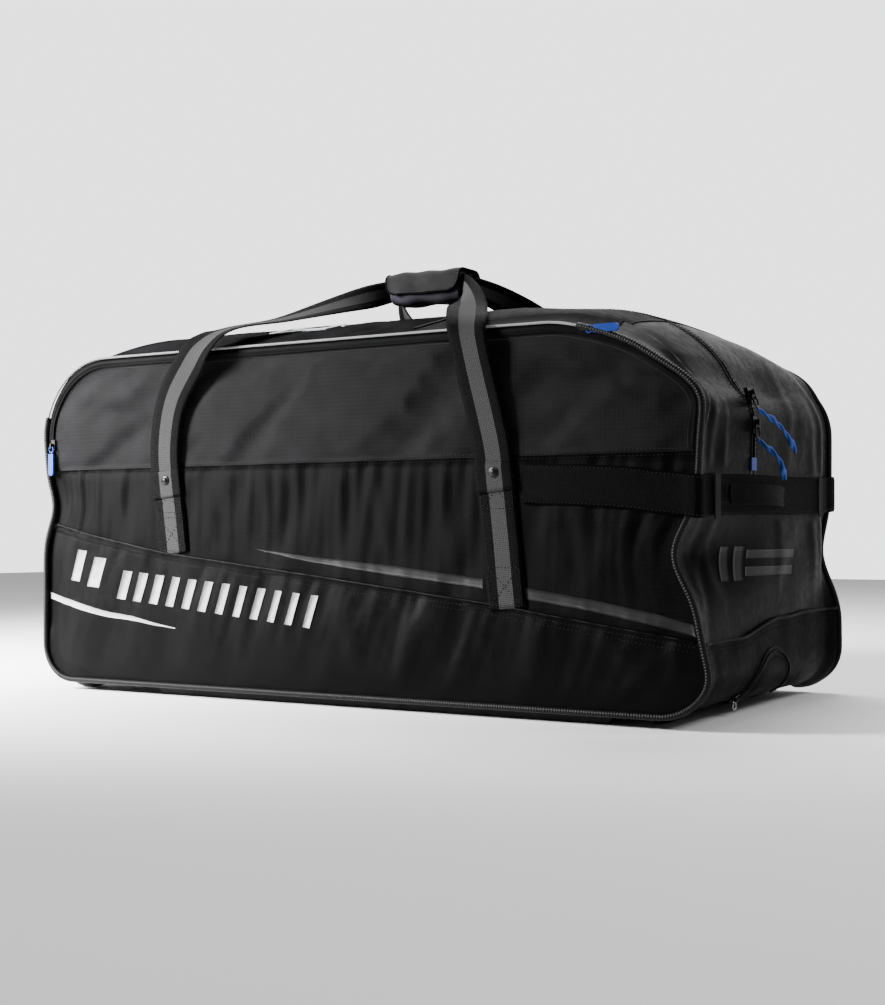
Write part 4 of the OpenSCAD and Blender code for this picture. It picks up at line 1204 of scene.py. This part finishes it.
def shape(obj, voxel):
    remesh = obj.modifiers.new("remesh", "REMESH")
    remesh.mode = "VOXEL"
    remesh.voxel_size = voxel
    apply(obj, "remesh")


def swell(obj, voxel, most, frames_run):
    """Voxel remesh, then Cloth with inner pressure; no point moves further than most."""
    shape(obj, voxel)
    scene = bpy.context.scene
    before = np.array([v.co for v in obj.data.vertices])
    cloth = obj.modifiers.new("cloth", "CLOTH")
    cloth.settings.quality = 5
    cloth.settings.mass = 0.3
    cloth.settings.use_pressure = True
    cloth.settings.uniform_pressure_force = 4
    cloth.settings.effector_weights.gravity = 0
    cloth.settings.tension_stiffness = 20
    cloth.settings.bending_stiffness = 2
    cloth.point_cache.frame_start = 1
    cloth.point_cache.frame_end = frames_run
    for f in range(1, frames_run + 1):
        scene.frame_set(f)
    graph = bpy.context.evaluated_depsgraph_get()
    after = np.array([v.co for v in obj.evaluated_get(graph).data.vertices])
    obj.modifiers.remove(cloth)
    move = after - before
    size = np.linalg.norm(move, axis=1, keepdims=True)
    move *= np.minimum(1, most / np.maximum(size, 1e-9))
    obj.data.vertices.foreach_set("co", (before + move).ravel())
    obj.data.update()
    scene.frame_set(1)


wrap_half(-1, "front")
wrap_half(1, "back")

# the wrap's cover: over both halves and part of the way down the front, with stitched edges
lo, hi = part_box("front_wrap")
xs = np.linspace(lo.x + 0.001, hi.x - 0.001, 34)
q = np.linspace(0, 1, 30)
depth = abs(lo.y)
TURN = 0.011                         # radius of the cover's two bends
COVER_BACK, COVER_FRONT = 0.006, 0.019   # how far it hangs down behind and in front


def flap_point(u, v, lift):
    """From the back of the sleeve (v = 0) over its top and down its front face (v = 1)."""
    span = 2 * depth - 2 * TURN
    w = v * (COVER_BACK + span + math.pi * TURN + COVER_FRONT)
    corner = TURN + 0.0012 + lift
    quarter = math.pi / 2 * TURN
    a = np.clip((w - COVER_BACK) / quarter, 0, 1) * math.pi / 2
    flat_run = np.clip(w - COVER_BACK - quarter, 0, span)
    b = np.clip((w - COVER_BACK - quarter - span) / quarter, 0, 1) * math.pi / 2
    down = np.clip(w - COVER_BACK - math.pi * TURN - span, 0, 1)
    up = np.clip(COVER_BACK - w, 0, 1)
    y = depth - TURN + corner * np.cos(a) - flat_run - corner * np.sin(b)
    z = hi.z - TURN - up + corner * (np.sin(a) - (1 - np.cos(b))) - down
    z = z + 0.0009 * np.sin(u * 150 + 1.2) * np.sin(np.pi * v) + 0.0012 * bump(u, -0.03, 0.02)
    y = y - 0.0022 * np.clip(down / 0.02, 0, 1) * (1 + np.sin(u * 95))
    return xyz(u, y, z)


uu, vv = np.meshgrid(xs, q, indexing="ij")
mid = (lo.x + hi.x) / 2
late = np.clip((vv - 0.72) / 0.28, 0, 1)
uu = mid + (uu - mid) * (1 - 0.30 * (1 - np.sqrt(np.clip(1 - late ** 2, 0, 1))))
sheet("front_wrap_cover", flap_point(uu, vv, 0.0), (uu, vv * 0.09), FELT,
      body="front_handle", thickness=0.0016, flip=True)
edge_row = pair(uu[:, -1], 0.97)
left_col, right_col = pair(uu[1, 4:], vv[1, 4:]), pair(uu[-2, 4:], vv[-2, 4:])
for k, line in enumerate((left_col, edge_row[2:-2], right_col)):
    pts = flap_point(line[:, 0], line[:, 1] * 0.985, 0.0005)
    stitches("front_wrap_stitches_%d" % k, pts, (0, -1, 0.4), body="front_handle")
rim = np.concatenate([pair(uu[0], vv[0]), pair(uu[1:-1, -1], vv[1:-1, -1]),
                      pair(uu[-1], vv[-1])[::-1]])
tube("front_wrap_binding", flap_point(rim[:, 0], rim[:, 1], -0.0006), 0.0015, BAND,
     body="front_handle", sides=8)


# ------------------------------------------------------------------ printed marks, all generic
def print_strip(name, top_line, low_line, part, material, lift=0.0004):
    """A flat print between two lines on the front, with tapering ends."""
    a, b = dense(top_line), np.array(low_line, float)
    steps = distance_along(b)
    at = np.linspace(0, steps[-1], len(a))
    b = np.stack([np.interp(at, steps, b[:, k]) for k in (0, 1)], axis=-1)
    rows = [surface_line(a * (1 - f) + b * f, part, lift) for f in np.linspace(0, 1, 4)]
    p = np.stack(rows[::-1], axis=1)
    sheet(name, p, (p[..., 0], p[..., 2]), material, thickness=0.0003)


SWOOSH = catmull([(-0.482, 0.1295), (-0.455, 0.1235), (-0.413, 0.1145), (-0.368, 0.1060),
                  (-0.323, 0.1015), (-0.285, 0.0950), (-0.250, 0.0904)], 6)
half = np.interp(SWOOSH[:, 0], (-0.482, -0.413, -0.323, -0.250), (0.0042, 0.0043, 0.0028, 0.0004))
rise = pair(0 * half, half)
print_strip("silver_swoosh", SWOOSH + rise, SWOOSH - rise, "lower", PRINT_SILVER)
print_strip("grey_stripe_left", [(-0.115, 0.196), (-0.03, 0.187), (0.10, 0.176), (0.221, 0.162)],
            [(-0.113, 0.195), (-0.03, 0.180), (0.10, 0.164), (0.221, 0.151)], "middle", PRINT_GREY)
print_strip("grey_stripe_right", [(0.262, 0.155), (0.36, 0.141), (0.44, 0.127), (0.481, 0.116)],
            [(0.262, 0.142), (0.36, 0.128), (0.44, 0.113), (0.481, 0.103)], "middle", PRINT_GREY)
SLANT, FALL = 0.34, 0.094            # lean of the bars and slashes, and fall of their row
for k, (x0, x1, low, high) in enumerate(((-0.438, -0.421, 0.152, 0.194),
                                         (-0.406, -0.384, 0.144, 0.184))):
    lean = SLANT * (high - low)
    print_strip("silver_bar_%d" % k, [(x0 + lean, high), (x1 + lean, high - 0.002)],
                [(x0, low), (x1, low - 0.002)], "lower", PRINT_SILVER)
for k in range(12):
    x0 = -0.352 + 0.0285 * k
    fall = FALL * (x0 + 0.352)
    low, high = 0.128 - fall, 0.166 - 0.92 * fall
    wide, lean = 0.0150 - 0.0004 * k, SLANT * (high - low)
    print_strip("silver_slash_%02d" % k, [(x0 + lean, high), (x0 + wide + lean, high - FALL * wide)],
                [(x0, low), (x0 + wide, low - FALL * wide)], "lower", PRINT_SILVER, lift=0.0009)


# two upright bars and two lines on the right end, leaning a little
for k, (y0, y1, z0, z1) in enumerate(((-0.135, -0.115, 0.160, 0.200), (-0.103, -0.079, 0.160, 0.200),
                                      (-0.066, 0.085, 0.186, 0.196), (-0.072, 0.078, 0.165, 0.176))):
    yy, zz = np.meshgrid(np.linspace(y0, y1, max(int((y1 - y0) / 0.004), 4)),
                         np.linspace(z0, z1, 8), indexing="ij")
    yy = yy + 0.25 * (zz - z0)
    sheet("end_bar_%d" % k, end_point(w_of_z(zz), yy, 1, 0.0005), (yy, zz), PRINT_GREY,
          thickness=0.0003)


# ------------------------------------------------------------------ carried-over CAD parts
def dress(material, *nodes):
    """Gives CAD parts that are kept as they are their material."""
    for node in nodes:
        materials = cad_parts[node].data.materials
        materials.clear()
        materials.append(material)


dress(HOUSING, "front_wheel_housing", "back_wheel_housing")
dress(RAIL, "front_rail", "back_rail")
dress(TYRE, "front_tyre", "back_tyre")
dress(HUB, "front_hub", "back_hub")
dress(STEEL, "wheel_axles", "rail_screws", "end_pocket_pull")
dress(BLACK_METAL, "upper_slider", "lower_slider", "upper_ring", "lower_ring",
      "end_pocket_slider", "left_pocket_slider", "top_pocket_slider")
dress(BLUE, "left_pocket_pull", "top_pocket_pull", "zip_end_tabs")
dress(BOARD, "base_board")
dress(CARD, "id_window")
dress(moulded("keeper_web", gray(0.008), 0.8, 1400.0, 0.6, shine=0.15), "band_keepers")


# ------------------------------------------------------------------ corner of the back cloth
# over the back wheel housing, out to the piping
turn = np.linspace(0, math.pi / 2, 26)
both = np.cos(turn) + np.sin(turn)
near = R_LOW * (both - np.sqrt(np.maximum(both ** 2 - 1, 0)))
share = np.linspace(0, 1, 9)
reach = near[:, None] + (0.0642 - near)[:, None] * share[None, :]
cx = -HALF_L + reach * np.cos(turn)[:, None]
cz = LOW_Z + reach * np.sin(turn)[:, None]
crown = 0.0022 * np.sin(np.pi * share)[None, :] + 0.0008
sheet("back_housing_corner", xyz(cx, HALF_W + crown, cz), (cx, cz), RIPSTOP_BACK,
      thickness=0.012)


# ------------------------------------------------------------------ studio
def stage_floor():
    corners = [(-6, -6, 0), (6, -6, 0), (6, 6, 0), (-6, 6, 0)]
    floor = new_object("studio_floor", corners, [(0, 1, 2, 3)], body=None, smooth=False)
    m = Nodes("studio_floor")
    cloud = m.noise(m.add("TexCoord").outputs["Object"], 3.0)
    m.feed(m.bsdf.inputs["Base Color"], m.mix(cloud, gray(0.86), gray(0.89)))
    m.feed(m.bsdf.inputs["Roughness"], 0.9)
    floor.data.materials.append(m.material)


def area_light(name, place, target, size, power, spread=180):
    data = bpy.data.lights.new(name, "AREA")
    data.spread = math.radians(spread)
    data.shape = "RECTANGLE"
    data.size, data.size_y = size
    data.energy = power
    obj = bpy.data.objects.new(name, data)
    bpy.context.scene.collection.objects.link(obj)
    obj.location = place
    aim = Vector(target) - Vector(place)
    obj.rotation_euler = aim.to_track_quat("-Z", "Y").to_euler()


stage_floor()
area_light("key", (-1.55, -1.30, 1.05), (-1.00, -0.25, 0.38), (0.8, 0.9), 115, 80)
area_light("top", (-0.4, 0.9, 2.7), (0, 0, 0.4), (2.0, 1.2), 90)
area_light("right", (1.9, 0.5, 1.7), (0.5, 0, 0.42), (0.6, 0.8), 22)


def studio_world():
    """Soft studio surroundings: bright behind the bag and above, dim in front of it."""
    world = bpy.data.worlds.new("studio")
    world.use_nodes = True
    tree = world.node_tree
    place = tree.nodes.new("ShaderNodeTexCoord")
    toward = tree.nodes.new("ShaderNodeVectorMath")
    toward.operation = "DOT_PRODUCT"
    toward.inputs[1].default_value = (-0.56, 0.82, 0.05)
    tree.links.new(place.outputs["Generated"], toward.inputs[0])
    fade = tree.nodes.new("ShaderNodeMapRange")
    fade.inputs[1].default_value, fade.inputs[2].default_value = 0.55, 0.93
    fade.inputs[3].default_value, fade.inputs[4].default_value = 0.22, 2.60
    tree.links.new(toward.outputs["Value"], fade.inputs[0])
    background = tree.nodes["Background"]
    background.inputs[0].default_value = (1, 1, 1, 1)
    tree.links.new(fade.outputs[0], background.inputs[1])
    bpy.context.scene.world = world


studio_world()
